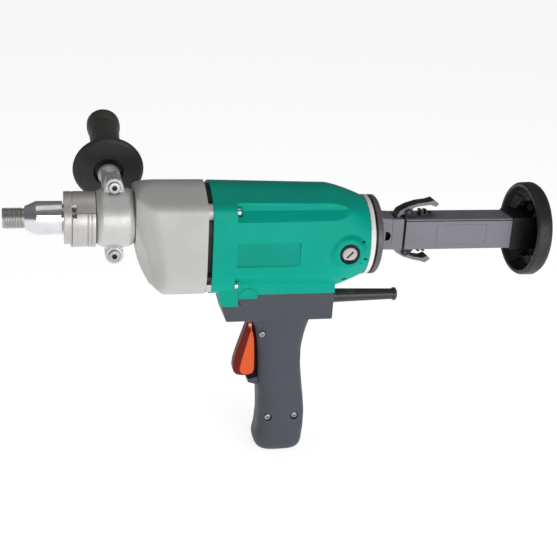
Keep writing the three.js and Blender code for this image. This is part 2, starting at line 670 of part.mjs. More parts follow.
function tailTube() {
  const [w, h] = [TUBE_W / 2, TUBE_H / 2];
  const shell = box([TUBE_X[0], TUBE_X[1]], [-w, w], [-h, h]);
  const [innerW, innerH] = [w - TUBE_WALL, h - TUBE_WALL];
  const inside = box([TUBE_X[0] - 1, TUBE_X[1] + 1], [-innerW, innerW], [-innerH, innerH]);
  const ears = [];
  for (const side of [-1, 1]) {
    for (const level of [-1, 1]) {
      const profile = outlineOf([
        [TUBE_X[0] + 0.3, level * 15], [TUBE_X[0] + 0.3, level * 25], [LATCH_PIN_X + 1, level * 27],
        [LATCH_PIN_X + 5, level * 25], [LATCH_PIN_X + 12, level * 15],
      ]);
      ears.push(slab(profile, 1.2).translate(0, side * (LEVER_W / 2 + 1.6), 0));
    }
  }
  const pinHoles = [-1, 1].map(level => atLatch(along.y(hole(2.05, [-20, 20], SMALL)), level));
  return cut(join(shell, ...ears), inside, ...pinHoles);
}

// A bent plate that hooks into the neck's notch and lifts out when its long end is pressed to the tube.
function latchLever(level) {
  const end = level > 0 ? 0 : -4;
  const top = [
    [212.6, 14.8], [212.4, 19.5], [215, 24], [224, 29], [236, 32.7], [247.5 + end, 34.2], [252 + end, 36.3],
    [259 + end, 31.8],
  ];
  const under = [
    [256.5 + end, 28.6], [250 + end, 30.8], [236, 29.2], [230, 27.3], [228.5, 20.5], [219, 20.5],
    [215.8, 19], [215.8, 14.8],
  ];
  const plate = slab(outlineOf([...top, ...under].map(([x, z]) => [x, level * z])), LEVER_W / 2);
  const boss = atLatch(along.y(rod(4.2, [-LEVER_W / 2, LEVER_W / 2], 12)), level);
  const pinHole = atLatch(along.y(hole(2.05, [-12, 12], SMALL)), level);
  const springX = [LATCH_PIN_X - 4.6, LATCH_PIN_X + 9];
  const springRoom = box(springX, [-4, 4], level > 0 ? [10, 27.4] : [-27.4, -10]);
  return cut(join(plate, boss), pinHole, springRoom);
}

function latchSpring(level) {
  return atLatch(coil(2.9, 5.5, 3, 0.45), level);
}

function chestPad() {
  const [x0, x1] = PAD_X;
  const dish = turned([
    [x1, 0], [x1, PAD_R - 6], [x1 - 3, PAD_R - 1], [x1 - 6, PAD_R], [x0 + 2, PAD_R - 0.5], [x0, PAD_R - 3],
    [x0 + 1, PAD_R - 6], [x1 - 5, PAD_R - 11], [x1 - 4.5, 0],
  ], 32);
  const ribs = [];
  const count = 12;
  for (let i = 0; i < count; i++) {
    ribs.push(box([x0 + 5, x1 - 2], [-1.2, 1.2], [25, PAD_R - 5]).rotateX(2 * Math.PI * (i + 0.5) / count));
  }
  return cut(join(dish, ...ribs), socketBlock([x0 - 5, x1 - 4.49], SOCKET_WALL + GAP));
}

// A square block round the tube, a given distance thicker than it on every side.
function socketBlock(x, thicker) {
  const [w, h] = [TUBE_W / 2 + thicker, TUBE_H / 2 + thicker];
  return box(x, [-w, w], [-h, h]);
}

function padSocket() {
  const block = socketBlock([SOCKET_X, PAD_X[1] - 4.5 - GAP], SOCKET_WALL);
  return cut(block, socketBlock([SOCKET_X - 1, TUBE_X[1] + GAP], GAP));
}

function buildTail() {
  place(rig, 'rear_cover', rearCover(), ALUMINIUM);
  place(rig, 'rear_plate', rearPlate(), TAIL_PAINT);
  place(tailLine, 'tail_neck', neck(), TAIL_PAINT);
  place(tailLine, 'tail_tube', tailTube(), TAIL_PAINT);
  for (const [level, word] of [[1, 'upper'], [-1, 'lower']]) {
    const pin = atLatch(along.y(rod(2, [-11.4, 11.4], SMALL)), level);
    place(tailLine, `latch_lever_${word}`, latchLever(level), TAIL_PAINT);
    place(tailLine, `latch_pin_${word}`, pin, DARK_STEEL);
    place(tailLine, `latch_spring_${word}`, latchSpring(level), DARK_STEEL);
  }
  place(tailLine, 'pad_socket', padSocket(), BLACK_PLASTIC);
  place(tailLine, 'chest_pad', chestPad(), RUBBER);
}

// ---------------------------------------------------------------- pistol grip
const TRIGGER_PIN = [53, -101];
const TONGUE_HALF_W = 3.8;         // the tongue of the handle that the trigger straddles
const GUARD_Z = -72;
const SPRING_Z = -140;             // trigger spring
const atTriggerPin = geometry => geometry.translate(TRIGGER_PIN[0], 0, TRIGGER_PIN[1]);

function baseOutline() {
  return outlineOf([
    [BASE_X[0], SADDLE_Z - GAP], [BASE_X[1], SADDLE_Z - GAP], [BASE_X[1] - 1.5, BASE_BOTTOM],
    [BASE_X[0] + 11, BASE_BOTTOM],
  ]);
}

// The grip is a tower of rounded sections: [height, front x, rear x, half width].
const GRIP_STATIONS = [
  [-76, 47, 126, 23.5], [-88, 48, 124, 23.5], [-98, 56, 118.8, 23.5], [-112, 60, 115, 23.5],
  [-130, 62, 112.4, 23], [-150, 63.5, 113.2, 22.5], [-172, 64, 116, 22.5], [-192, 65.5, 119, 23],
  [-208, 66.5, 120.8, 23.5], [-228, 65.3, 120.8, 24], [-242, 62.8, 119.6, 24], [-248, 62.3, 118.6, 23.8],
  [-252, 64, 116.5, 22.5], [GRIP_BOTTOM, 69, 112, 19.5],
];

function gripStem() {
  const count = 24;
  const rings = GRIP_STATIONS.map(([height, front, rear, halfW]) => {
    const points = [];
    for (let k = 0; k < count; k++) {
      const angle = 2 * Math.PI * (k + 0.5) / count;
      const [c, s] = [Math.cos(angle), Math.sin(angle)];
      const x = (front + rear) / 2 + Math.sign(c) * (rear - front) / 2 * Math.abs(c) ** 0.72;
      points.push([Math.sign(s) * halfW * Math.abs(s) ** 0.72, x]);
    }
    return { x: height, points };
  });
  // The tower was drawn lying along X; this stands it up along Z.
  return loft(rings).applyMatrix4(new THREE.Matrix4().makeBasis(
    new THREE.Vector3(0, 0, 1), new THREE.Vector3(0, 1, 0), new THREE.Vector3(1, 0, 0)));
}

function gripSolid() {
  const base = slab(baseOutline(), GRIP_HALF_W + 1, 4, 2);
  const lip = slab(outlineOf([[52.5, -170.5], [70, -178], [70, -165.5], [53, -167.5]]), 10, 1, 1);
  const baseRoom = box([27, 130.5], [-18, 18], [-84, SADDLE_Z - GAP + 1]);
  const gripRoom = box([72, 107], [-17, 17], [-246, -80]);
  const triggerSlot = box([40, 90], [-9.3, 9.3], [-165, -90]);
  const tongue = slab(outlineOf([
    [46, -86], [46, -104], [50, -107], [56, -107], [60, -100], [60, -86],
  ]), TONGUE_HALF_W);
  const pinHole = atTriggerPin(along.y(hole(2.05, [-15.8, 15.8], SMALL)));
  const guardSeat = drop(hole(8.3, [124, 150]), GUARD_Z);
  const hollow = cut(join(base, gripStem(), lip), baseRoom, gripRoom, triggerSlot, guardSeat);
  return cut(join(hollow, tongue), pinHole);
}

function trigger() {
  const outline = new THREE.Shape();
  outline.moveTo(49.5, -97);
  outline.quadraticCurveTo(47, -104, 45.5, -113);
  outline.bezierCurveTo(41, -127, 35.5, -142, 36, -153);
  outline.quadraticCurveTo(37, -161.5, 44, -163.5);
  outline.lineTo(57, -164.2);
  outline.quadraticCurveTo(62.5, -163, 63.5, -157);
  outline.lineTo(61.5, -118);
  outline.quadraticCurveTo(60, -102, 56.5, -97);
  const body = slab(outline, 8.9, 2, 2);
  const pinHole = atTriggerPin(along.y(hole(2.1, [-12, 12], SMALL)));
  const springSeat = drop(hole(4.2, [58, 70]), SPRING_Z);
  const fork = box([35, 70], [-TONGUE_HALF_W - 0.4, TONGUE_HALF_W + 0.4], [-113, -90]);
  return cut(body, pinHole, springSeat, fork);
}

function cableGuard() {
  const [x0, x1] = GUARD_X;
  const sleeveBody = turned([
    [x0, 4.3], [x0, 10.5], [x0 + 3, 10.5], [x0 + 3, 7.6], [144, 7.6], [146, 7.9], [x1 - 7, 6.2],
    [x1 - 4, 6.2], [x1 - 4, 7.4], [x1 - 1, 7.4], [x1, 6.2], [x1, 4.3], [x0, 4.3],
  ], 16);
  return drop(sleeveBody, GUARD_Z);
}

function buildGrip() {
  const whole = gripSolid();
  const near = box([0, 160], [-40, -0.15], [-270, -50]);
  const far = box([0, 160], [0.15, 40], [-270, -50]);
  place(rig, 'handle_near', common(whole, near), GREY_PLASTIC);
  place(rig, 'handle_far', common(whole, far), GREY_PLASTIC);
  place(rig, 'trigger', trigger(), ORANGE_PLASTIC);
  place(rig, 'trigger_pin', atTriggerPin(along.y(rod(2, [-8.8, 8.8], SMALL))), STEEL);
  const spring = coil(3.2, 10.6, 4, 0.6).rotateZ(-Math.PI / 2).translate(70.7, 0, SPRING_Z);
  place(rig, 'trigger_spring', spring, STEEL);
  place(rig, 'switch_block', box([77, 103], [-11, 11], [-156, -112]), BLACK_PLASTIC);
  place(rig, 'cable_guard', cableGuard(), RUBBER);
}

buildGearbox();
buildSideHandle();
buildMotor();
buildTail();
buildGrip();

rig.position.set(-PAD_X[1], 0, -TAIL_RISE);
const coreDrill = new THREE.Group();
coreDrill.add(rig);

export default coreDrill;
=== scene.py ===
"""Looks of the hand-held core drill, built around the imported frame.

Lengths are millimetres in a layout frame of the drill: x = 0 is the joint between gearbox and motor, the
motor axis is y = z = 0, the spindle points to -x and the chest pad to +x, and -y is the near side. TO_FRAME
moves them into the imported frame, in metres. Outlines and profiles are lists of (x, z) or (x, r) corners, with
the radius of a rounded corner as a third number.
"""
import json
import math

import bmesh
import bpy
import numpy as np
from mathutils import Matrix, Vector


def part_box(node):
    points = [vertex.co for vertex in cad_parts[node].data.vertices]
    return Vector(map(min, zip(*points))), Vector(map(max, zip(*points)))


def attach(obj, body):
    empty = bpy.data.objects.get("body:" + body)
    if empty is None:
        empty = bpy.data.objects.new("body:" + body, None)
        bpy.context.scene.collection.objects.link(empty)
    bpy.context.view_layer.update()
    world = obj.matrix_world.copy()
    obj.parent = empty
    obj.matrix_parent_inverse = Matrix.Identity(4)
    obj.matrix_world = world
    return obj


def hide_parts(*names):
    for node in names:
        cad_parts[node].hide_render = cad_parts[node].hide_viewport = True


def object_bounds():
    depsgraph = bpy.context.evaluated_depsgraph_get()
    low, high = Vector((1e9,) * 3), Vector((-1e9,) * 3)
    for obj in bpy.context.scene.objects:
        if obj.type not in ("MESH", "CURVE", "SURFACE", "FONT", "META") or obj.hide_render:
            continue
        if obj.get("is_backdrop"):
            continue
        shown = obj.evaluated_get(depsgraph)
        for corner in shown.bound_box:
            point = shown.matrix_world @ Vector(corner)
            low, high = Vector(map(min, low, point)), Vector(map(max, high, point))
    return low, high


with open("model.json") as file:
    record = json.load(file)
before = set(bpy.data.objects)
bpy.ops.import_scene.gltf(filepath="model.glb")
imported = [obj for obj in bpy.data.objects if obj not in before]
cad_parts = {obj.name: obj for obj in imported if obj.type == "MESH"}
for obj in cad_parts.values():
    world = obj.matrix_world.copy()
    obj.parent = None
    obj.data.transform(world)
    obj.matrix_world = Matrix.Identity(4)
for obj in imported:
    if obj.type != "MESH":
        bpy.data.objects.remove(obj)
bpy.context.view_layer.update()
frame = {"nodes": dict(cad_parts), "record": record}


def centre(node):
    lo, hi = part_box(node)
    return (lo + hi) / 2


MM = 0.001
JOINT_GAP = 2.7              # half of the gap between gearbox and motor
ORIGIN = Vector((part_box("motor_housing")[0].x - JOINT_GAP * MM, 0, centre("armature_shaft").z))
TO_FRAME = Matrix.Translation(ORIGIN) @ Matrix.Scale(MM, 4)
SPINDLE_Z = (centre("spindle").z - ORIGIN.z) / MM
TAIL_Z = (centre("tail_tube").z - ORIGIN.z) / MM


def span(node, axis):
    """Lowest and highest place of a node along an axis (0, 1 or 2), in layout millimetres."""
    lo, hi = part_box(node)
    return (lo[axis] - ORIGIN[axis]) / MM, (hi[axis] - ORIGIN[axis]) / MM


# ---------------------------------------------------------------- camera, light and floor
CAMERA_PLACE = (-0.5451, -1.0488, 0.3378)
CAMERA_AZIMUTH, CAMERA_ELEVATION, CAMERA_ROLL = 13.3, 20, 3.3
FOCAL_LENGTH, SENSOR_WIDTH = 67.2, 36


def camera():
    """The main view: from the near side, a little in front and above, slightly rolled."""
    azimuth, elevation, roll = (math.radians(a) for a in (CAMERA_AZIMUTH, CAMERA_ELEVATION, CAMERA_ROLL))
    level_part = math.cos(elevation)
    ahead = Vector((math.sin(azimuth) * level_part, math.cos(azimuth) * level_part, -math.sin(elevation)))
    level = Vector((math.cos(azimuth), -math.sin(azimuth), 0))
    up = level.cross(ahead)
    right = level * math.cos(roll) + up * math.sin(roll)
    up = up * math.cos(roll) - level * math.sin(roll)
    data = bpy.data.cameras.new("camera")
    data.sensor_width = SENSOR_WIDTH
    data.lens = FOCAL_LENGTH
    data.clip_end = 100
    obj = bpy.data.objects.new("camera", data)
    obj.matrix_world = Matrix((right, up, -ahead)).transposed().to_4x4()
    obj.location = CAMERA_PLACE
    bpy.context.scene.collection.objects.link(obj)
    bpy.context.scene.camera = obj


def area_light(name, place, aim, size, power, tint=(1, 1, 1)):
    data = bpy.data.lights.new(name, "AREA")
    data.shape = "RECTANGLE"
    data.size, data.size_y = size
    data.energy = power
    data.color = tint
    obj = bpy.data.objects.new(name, data)
    obj.location = place
    obj.rotation_euler = (Vector(aim) - Vector(place)).to_track_quat("-Z", "Y").to_euler()
    bpy.context.scene.collection.objects.link(obj)


def studio():
    """A bright floor, a dim ceiling and broad lights at the height of the object."""
    scene = bpy.context.scene
    scene.view_settings.view_transform = "Standard"
    world = bpy.data.worlds.new("studio")
    scene.world = world
    world.use_nodes = True
    nodes, links = world.node_tree.nodes, world.node_tree.links
    sky = nodes["Background"]
    where = nodes.new("ShaderNodeTexCoord")
    split = nodes.new("ShaderNodeSeparateXYZ")
    ramp = nodes.new("ShaderNodeValToRGB")
    height = nodes.new("ShaderNodeMapRange")
    height.inputs["From Min"].default_value = -1
    links.new(where.outputs["Generated"], split.inputs[0])
    links.new(split.outputs["Z"], height.inputs["Value"])
    links.new(height.outputs[0], ramp.inputs[0])
    links.new(ramp.outputs[0], sky.inputs["Color"])
    steps = [(0.0, 0.9), (0.48, 0.9), (0.53, 0.25), (0.75, 0.18), (1.0, 0.3)]
    ramp.color_ramp.elements[0].position = steps[0][0]
    ramp.color_ramp.elements[1].position = steps[-1][0]
    for place, _ in steps[1:-1]:
        ramp.color_ramp.elements.new(place)
    for element, (_, level) in zip(ramp.color_ramp.elements, steps):
        element.color = (level, level, level, 1)
    sky.inputs["Strength"].default_value = 0.85

    area_light("front_softbox", (0.25, -2.2, 0.25), (-0.25, 0, -0.05), (2.2, 1.0), 27)
    area_light("top_softbox", (-0.4, 0.1, 1.7), (-0.3, 0, 0), (1.6, 0.8), 2.5)

    floor_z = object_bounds()[0].z
    mesh = bpy.data.meshes.new("floor")
    bm = bmesh.new()
    bmesh.ops.create_grid(bm, x_segments=1, y_segments=1, size=14)
    bm.to_mesh(mesh)
    bm.free()
    floor = bpy.data.objects.new("floor", mesh)
    floor.location = (0, 4, floor_z - 0.0005)
    scene.collection.objects.link(floor)
    paper = bpy.data.materials.new("floor_paper")
    paper.use_nodes = True
    shader = paper.node_tree.nodes["Principled BSDF"]
    shader.inputs["Base Color"].default_value = (0.86, 0.86, 0.87, 1)
    shader.inputs["Roughness"].default_value = 0.9
    shader.inputs["Specular IOR Level"].default_value = 0.1
    shader.inputs["Emission Color"].default_value = (1, 1, 1, 1)
    shader.inputs["Emission Strength"].default_value = 0.75
    mesh.materials.append(paper)
    floor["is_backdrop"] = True


# ---------------------------------------------------------------- materials
def linear(colour):
    """An #rrggbb colour as linear light."""
    parts = [int(colour[i:i + 2], 16) / 255 for i in (1, 3, 5)]
    return [c / 12.92 if c <= 0.04045 else ((c + 0.055) / 1.055) ** 2.4 for c in parts]


def scaled(colour, factor):
    return [min(1, c * factor) for c in linear(colour)] + [1]


class Look:
    """A procedural finish: mottled colour, uneven gloss, fine bump, worn edges and painted shade in the
    corners.
    """

    def __init__(self, name, colour, roughness, metallic=0.0):
        self.material = bpy.data.materials.new(name)
        self.material.use_nodes = True
        self.tree = self.material.node_tree
        self.shader = self.tree.nodes["Principled BSDF"]
        self.shader.inputs["Metallic"].default_value = metallic
        self.place = self.node("ShaderNodeTexCoord").outputs["Object"]
        self.colour = colour
        self.colour_out = None
        self.normal_out = None
        self.roughness = roughness

    def node(self, kind, **settings):
        made = self.tree.nodes.new(kind)
        for key, value in settings.items():
            setattr(made, key, value)
        return made

    def link(self, a, b):
        self.tree.links.new(a, b)

    def noise(self, size_mm, detail=3, stretch=None):
        """Noise whose spots are about size_mm wide, stretched by a factor for each axis."""
        made = self.node("ShaderNodeTexNoise")
        made.inputs["Scale"].default_value = 1 / (size_mm * MM)
        made.inputs["Detail"].default_value = detail
        source = self.place
        if stretch:
            mapping = self.node("ShaderNodeMapping")
            mapping.inputs["Scale"].default_value = stretch
            self.link(source, mapping.inputs["Vector"])
            source = mapping.outputs[0]
        self.link(source, made.inputs["Vector"])
        return made.outputs["Fac"]

    def spread(self, source, low, high, at=(0.3, 0.7)):
        made = self.node("ShaderNodeMapRange")
        self.link(source, made.inputs["Value"])
        for key, value in zip(("From Min", "From Max", "To Min", "To Max"), (*at, low, high)):
            made.inputs[key].default_value = value
        return made.outputs[0]

    def mix(self, factor, a, b):
        made = self.node("ShaderNodeMix", data_type="RGBA")
        self.link(factor, made.inputs["Factor"])
        for value, socket in ((a, made.inputs["A"]), (b, made.inputs["B"])):
            if isinstance(value, list):
                socket.default_value = value
            else:
                self.link(value, socket)
        return made.outputs["Result"]

    def times(self, a, b):
        made = self.node("ShaderNodeMath", operation="MULTIPLY")
        self.link(a, made.inputs[0])
        self.link(b, made.inputs[1])
        return made.outputs[0]

    def mottle(self, amount, size_mm):
        blotches = self.spread(self.noise(size_mm, 4), 0, 1)
        self.colour_out = self.mix(blotches, scaled(self.colour, 1 - amount), scaled(self.colour, 1 + amount))
        return self

    def gloss(self, swing, size_mm, stretch=None):
        uneven = self.noise(size_mm, 4, stretch)
        low, high = max(0.02, self.roughness - swing), min(1, self.roughness + swing)
        self.link(self.spread(uneven, low, high), self.shader.inputs["Roughness"])
        return self

    def bump(self, height_mm, size_mm, detail=2, stretch=None):
        made = self.node("ShaderNodeBump")
        made.inputs["Distance"].default_value = height_mm * MM
        made.inputs["Strength"].default_value = 1
        self.link(self.noise(size_mm, detail, stretch), made.inputs["Height"])
        if self.normal_out:
            self.link(self.normal_out, made.inputs["Normal"])
        self.normal_out = made.outputs[0]
        return self

    def edges(self, colour, amount=0.6):
        """Rubbed edges, broken up by noise. An edge is where a rounded normal leaves the flat one."""
        rounded = self.node("ShaderNodeBevel", samples=4)
        rounded.inputs["Radius"].default_value = 0.7 * MM
        agree = self.node("ShaderNodeVectorMath", operation="DOT_PRODUCT")
        self.link(rounded.outputs[0], agree.inputs[0])
        self.link(self.node("ShaderNodeNewGeometry").outputs["Normal"], agree.inputs[1])
        sharp = self.spread(agree.outputs["Value"], amount, 0, (0.93, 0.995))
        rubbed = self.times(sharp, self.spread(self.noise(5, 4), 0.15, 1, (0.35, 0.65)))
        self.colour_out = self.mix(rubbed, self.colour_out, linear(colour) + [1])
        return self

    def occlusion_shade(self, colour, amount=0.5):
        """Painted shade: darkens the colour in the inner corners, where ambient occlusion finds nearby
        surfaces.
        """
        nearby = self.node("ShaderNodeAmbientOcclusion", samples=4)
        nearby.inputs["Distance"].default_value = 5 * MM
        deep = self.spread(nearby.outputs["AO"], amount, 0, (0.35, 0.8))
        self.colour_out = self.mix(deep, self.colour_out, linear(colour) + [1])
        return self

    def done(self, **extra):
        if self.colour_out:
            self.link(self.colour_out, self.shader.inputs["Base Color"])
        else:
            self.shader.inputs["Base Color"].default_value = scaled(self.colour, 1)
        if not self.shader.inputs["Roughness"].is_linked:
            self.shader.inputs["Roughness"].default_value = self.roughness
        if self.normal_out:
            self.link(self.normal_out, self.shader.inputs["Normal"])
        for key, value in extra.items():
            self.shader.inputs[key.replace("_", " ")].default_value = value
        return self.material


TURNED = (60, 1, 1)          # marks of a lathe: fine across x, long round it


# paint, steel, cast and the machined aluminium darken their inner corners by ambient occlusion: painted shade.
def paint(name, colour, roughness, edge):
    return (Look(name, colour, roughness).mottle(0.05, 28).gloss(0.08, 9).bump(0.05, 1.6)
            .bump(0.02, 0.4).edges(edge, 0.5).occlusion_shade("#55524e", 0.35).done())


def plastic(name, colour, roughness, grain=0.03, worn=1.35, shine=0.5):
    pale = "#%02x%02x%02x" % tuple(min(255, int(int(colour[i:i + 2], 16) * worn)) for i in (1, 3, 5))
    return (Look(name, colour, roughness).mottle(0.05, 35).gloss(0.07, 12).bump(grain, 0.55)
            .bump(0.06, 22, 1).edges(pale, 0.45).done(Specular_IOR_Level=shine))


def rubber(name, colour, roughness):
    return (Look(name, colour, roughness).mottle(0.16, 14).gloss(0.1, 6).bump(0.05, 0.8)
            .edges("#6a6866", 0.35).done(Specular_IOR_Level=0.4))


def steel(name, colour, roughness, stretch=TURNED):
    return (Look(name, colour, roughness, 1.0).mottle(0.06, 12).gloss(0.07, 4, stretch)
            .bump(0.012, 2.0, 3, stretch).occlusion_shade("#2c2a28", 0.5).done())


def cast(name, colour, roughness, metallic):
    return (Look(name, colour, roughness, metallic).mottle(0.07, 16).gloss(0.08, 5).bump(0.09, 1.3, 4)
            .edges("#e8e6e2", 0.55).occlusion_shade("#4c4944", 0.5).done())


def build_looks():
    return {
        "grey_paint": paint("grey_paint", "#b9b8b5", 0.42, "#e4e3e0"),
        "green_plastic": plastic("green_plastic", "#00a08b", 0.42, 0.02, 1.3, 0.1),
        "label_green": plastic("label_green", "#009582", 0.4, 0.01, 1.2, 0.1),
        "grey_plastic": plastic("grey_plastic", "#484a54", 0.5, 0.05, 1.4, 0.3),
        "black_plastic": plastic("black_plastic", "#0d0d0f", 0.42, shine=0.3),
        "cap_plastic": plastic("cap_plastic", "#b9b2b4", 0.4),
        "orange_plastic": plastic("orange_plastic", "#e65a20", 0.38, 0.02, 1.15, 0.3),
        "red_plastic": plastic("red_plastic", "#701a04", 0.45, 0.02, 1.2, 0.2),
        "bright_steel": steel("bright_steel", "#dcdade", 0.16),
        "steel": steel("steel", "#a3a2a6", 0.3),
        "thread_steel": steel("thread_steel", "#bdbbb9", 0.42),
        "dark_steel": steel("dark_steel", "#47464b", 0.38),
        # Its last colour darkens the inner corners by ambient occlusion: painted shade.
        "machined_aluminium": (Look("machined_aluminium", "#bdbbb8", 0.38, 0.55).mottle(0.05, 14)
                               .gloss(0.07, 3, TURNED).bump(0.02, 1.5, 3, TURNED)
                               .edges("#f0eeea", 0.6).occlusion_shade("#45423e", 0.5).done()),
        "cast_aluminium": cast("cast_aluminium", "#c6c5c3", 0.4, 0.35),
        "ring_paint": paint("ring_paint", "#e4e6e6", 0.4, "#ffffff"),
        "tail_paint": paint("tail_paint", "#74747b", 0.4, "#a9a9b0"),
        "dark_paint": paint("dark_paint", "#5a5557", 0.38, "#8f8b8b"),
        "rubber": rubber("rubber", "#222121", 0.48),
        "guard_rubber": rubber("guard_rubber", "#333234", 0.28),
        "grip_rubber": rubber("grip_rubber", "#403e3c", 0.62),
        "copper": steel("copper", "#b8703f", 0.34, (8, 60, 60)),
        "brass": steel("brass", "#b5924a", 0.3),
        "carbon": rubber("carbon", "#2a2a2b", 0.6),
    }


# ---------------------------------------------------------------- shapes
def fillet(points, closed=True, steps=5):
    """Rounds the corners of an outline. A point is (u, v) or (u, v, radius)."""
    made = []
    count = len(points)
    for i, point in enumerate(points):
        here = Vector(point[:2])
        radius = point[2] if len(point) > 2 else 0
        if radius == 0 or (not closed and i in (0, count - 1)):
            made.append(tuple(here))
            continue
        before = Vector(points[i - 1][:2]) - here
        after = Vector(points[(i + 1) % count][:2]) - here
        turn = before.angle(after)
        reach = min(radius / math.tan(turn / 2), before.length * 0.49, after.length * 0.49)
        a, b = here + before.normalized() * reach, here + after.normalized() * reach
        for step in range(steps + 1):
            t = step / steps
            made.append(tuple(a * (1 - t) ** 2 + here * 2 * t * (1 - t) + b * t * t))
    return made


def skin(rings, closed_way=False):
    """Joins rings of equal length into one surface, with flat ends or joined end to end."""
    bm = bmesh.new()
    rows = [[bm.verts.new(p) for p in ring] for ring in rings]
    count = len(rows[0])
    pairs = list(zip(rows, rows[1:] + rows[:1] if closed_way else rows[1:]))
    for a, b in pairs:
        for k in range(count):
            n = (k + 1) % count
            bm.faces.new((a[k], a[n], b[n], b[k]))
    if not closed_way:
        bm.faces.new(rows[0])
        bm.faces.new(list(reversed(rows[-1])))
    bmesh.ops.recalc_face_normals(bm, faces=bm.faces)
    return bm


def lathe(profile, segments=72, steps=5):
    """Turns an (x, r) profile round the x axis. It ends on the axis, or else closes on itself."""
    solid = profile[0][1] == 0 and profile[-1][1] == 0
    points = fillet(profile, closed=not solid, steps=steps)
    bm = bmesh.new()
    rows = []
    for x, r in points:
        if r < 1e-6:
            rows.append([bm.verts.new((x, 0, 0))])
            continue
        angles = [2 * math.pi * k / segments for k in range(segments)]
        rows.append([bm.verts.new((x, r * math.cos(a), r * math.sin(a))) for a in angles])
    if not solid:
        rows.append(rows[0])
    for a, b in zip(rows, rows[1:]):
        for k in range(segments):
            n = (k + 1) % segments
            corners = [a[k % len(a)], a[n % len(a)], b[n % len(b)], b[k % len(b)]]
            corners = list(dict.fromkeys(corners))
            if len(corners) > 2:
                bm.faces.new(corners)
    bmesh.ops.recalc_face_normals(bm, faces=bm.faces)
    return bm


def prism(outline, y_span, steps=5):
    """Pushes an (x, z) outline from one y to another."""
    points = fillet(outline, steps=steps)
    return skin([[(x, y, z) for x, z in points] for y in y_span])


def block(x_span, y_span, z_span):
    (x0, x1), (z0, z1) = x_span, z_span
    return prism([(x0, z0), (x1, z0), (x1, z1), (x0, z1)], y_span)


def rod(radius, x_span, segments=40, soft=0.0):
    x0, x1 = x_span
    return lathe([(x0, 0), (x0, radius, soft), (x1, radius, soft), (x1, 0)], segments, 3)


def moved(bm, *matrices):
    for matrix in matrices:
        bm.transform(matrix)
    return bm


def at(x=0.0, y=0.0, z=0.0):
    return Matrix.Translation((x, y, z))


def turn(degrees, axis):
    return Matrix.Rotation(math.radians(degrees), 4, axis)


def across(bm, x=0.0, z=0.0):
    """Lays a piece drawn along +x along +y instead, on the line through x and z."""
    return moved(bm, turn(90, "Z"), at(x, 0, z))


def mirrored(side, low, high):
    """A span on the near or lower side (side -1), or on the far or upper side (side 1)."""
    return sorted((side * low, side * high))


def facing(direction, origin):
    """Turns a piece drawn along +x to point along direction from origin."""
    return at(*origin) @ Vector((1, 0, 0)).rotation_difference(Vector(direction)).to_matrix().to_4x4()


def combine(base, tools, operation):
    """Applies booleans, and gives one mesh back."""
    def temporary(bm):
        mesh = bpy.data.meshes.new("temporary")
        bm.to_mesh(mesh)
        bm.free()
        obj = bpy.data.objects.new("temporary", mesh)
        bpy.context.scene.collection.objects.link(obj)
        return obj

    target = temporary(base)
    others = [temporary(tool) for tool in tools]
    for other in others:
        modifier = target.modifiers.new("boolean", "BOOLEAN")
        modifier.operation = operation
        modifier.solver = "EXACT"
        modifier.object = other
    result = target.evaluated_get(bpy.context.evaluated_depsgraph_get()).to_mesh()
    bm = bmesh.new()
    bm.from_mesh(result)
    for obj in [target, *others]:
        mesh = obj.data
        bpy.data.objects.remove(obj)
        bpy.data.meshes.remove(mesh)
    bmesh.ops.remove_doubles(bm, verts=bm.verts, dist=1e-4)
    return bm


def cut(base, *tools):
    return combine(base, tools, "DIFFERENCE")


def join(base, *tools):
    return combine(base, tools, "UNION")


def common(base, *tools):
    return combine(base, tools, "INTERSECT")


def cast_form(bm, voxel, smooth):
    """Melts joined shapes into one casting: even mesh, soft inner corners."""
    mesh = bpy.data.meshes.new("casting")
    bm.to_mesh(mesh)
    bm.free()
    obj = bpy.data.objects.new("casting", mesh)
    bpy.context.scene.collection.objects.link(obj)
    remesh = obj.modifiers.new("remesh", "REMESH")
    remesh.mode = "VOXEL"
    remesh.voxel_size = voxel
    even = obj.modifiers.new("smooth", "SMOOTH")
    even.iterations = smooth
    even.factor = 0.5
    made = bmesh.new()
    made.from_mesh(obj.evaluated_get(bpy.context.evaluated_depsgraph_get()).to_mesh())
    bpy.data.objects.remove(obj)
    bpy.data.meshes.remove(mesh)
    return made


LOOKS = {}


def piece(name, bm, body, look, *nodes, slot=None, bevel=0.0, sharp=32, second=None):
    """Makes the object, in place: its finish, its body, the CAD nodes that it stands for.

    second is (look, test): faces whose centre and normal pass the test get that look instead."""
    mesh = bpy.data.meshes.new(name)
    bm.normal_update()
    bm.to_mesh(mesh)
    bm.free()
    mesh.materials.append(LOOKS[look])
    if second:
        mesh.materials.append(LOOKS[second[0]])
        for polygon in mesh.polygons:
            if second[1](polygon.center, polygon.normal):
                polygon.material_index = 1
    mesh.transform(TO_FRAME)
    mesh.polygons.foreach_set("use_smooth", [True] * len(mesh.polygons))
    mesh.set_sharp_from_angle(angle=math.radians(sharp))
    obj = bpy.data.objects.new(name, mesh)
    bpy.context.scene.collection.objects.link(obj)
    if bevel:
        modifier = obj.modifiers.new("bevel", "BEVEL")
        modifier.width = bevel * MM
        modifier.segments = 3
        modifier.limit_method = "ANGLE"
        modifier.angle_limit = math.radians(sharp)
        modifier.harden_normals = True
    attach(obj, body)
    if nodes:
        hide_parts(*nodes)


def smoothstep(low, high, value):
    t = np.clip((value - low) / (high - low), 0, 1)
    return t * t * (3 - 2 * t)


# ---------------------------------------------------------------- spindle and water swivel
THREAD_PITCH = 2.5
THREAD_R = 11
RIDGE = 1.0
SPINDLE_R = 17.5
WATER_BORE_R = 4
TIP_X, CONE_X, CONE_END = -208, -186, -174.5


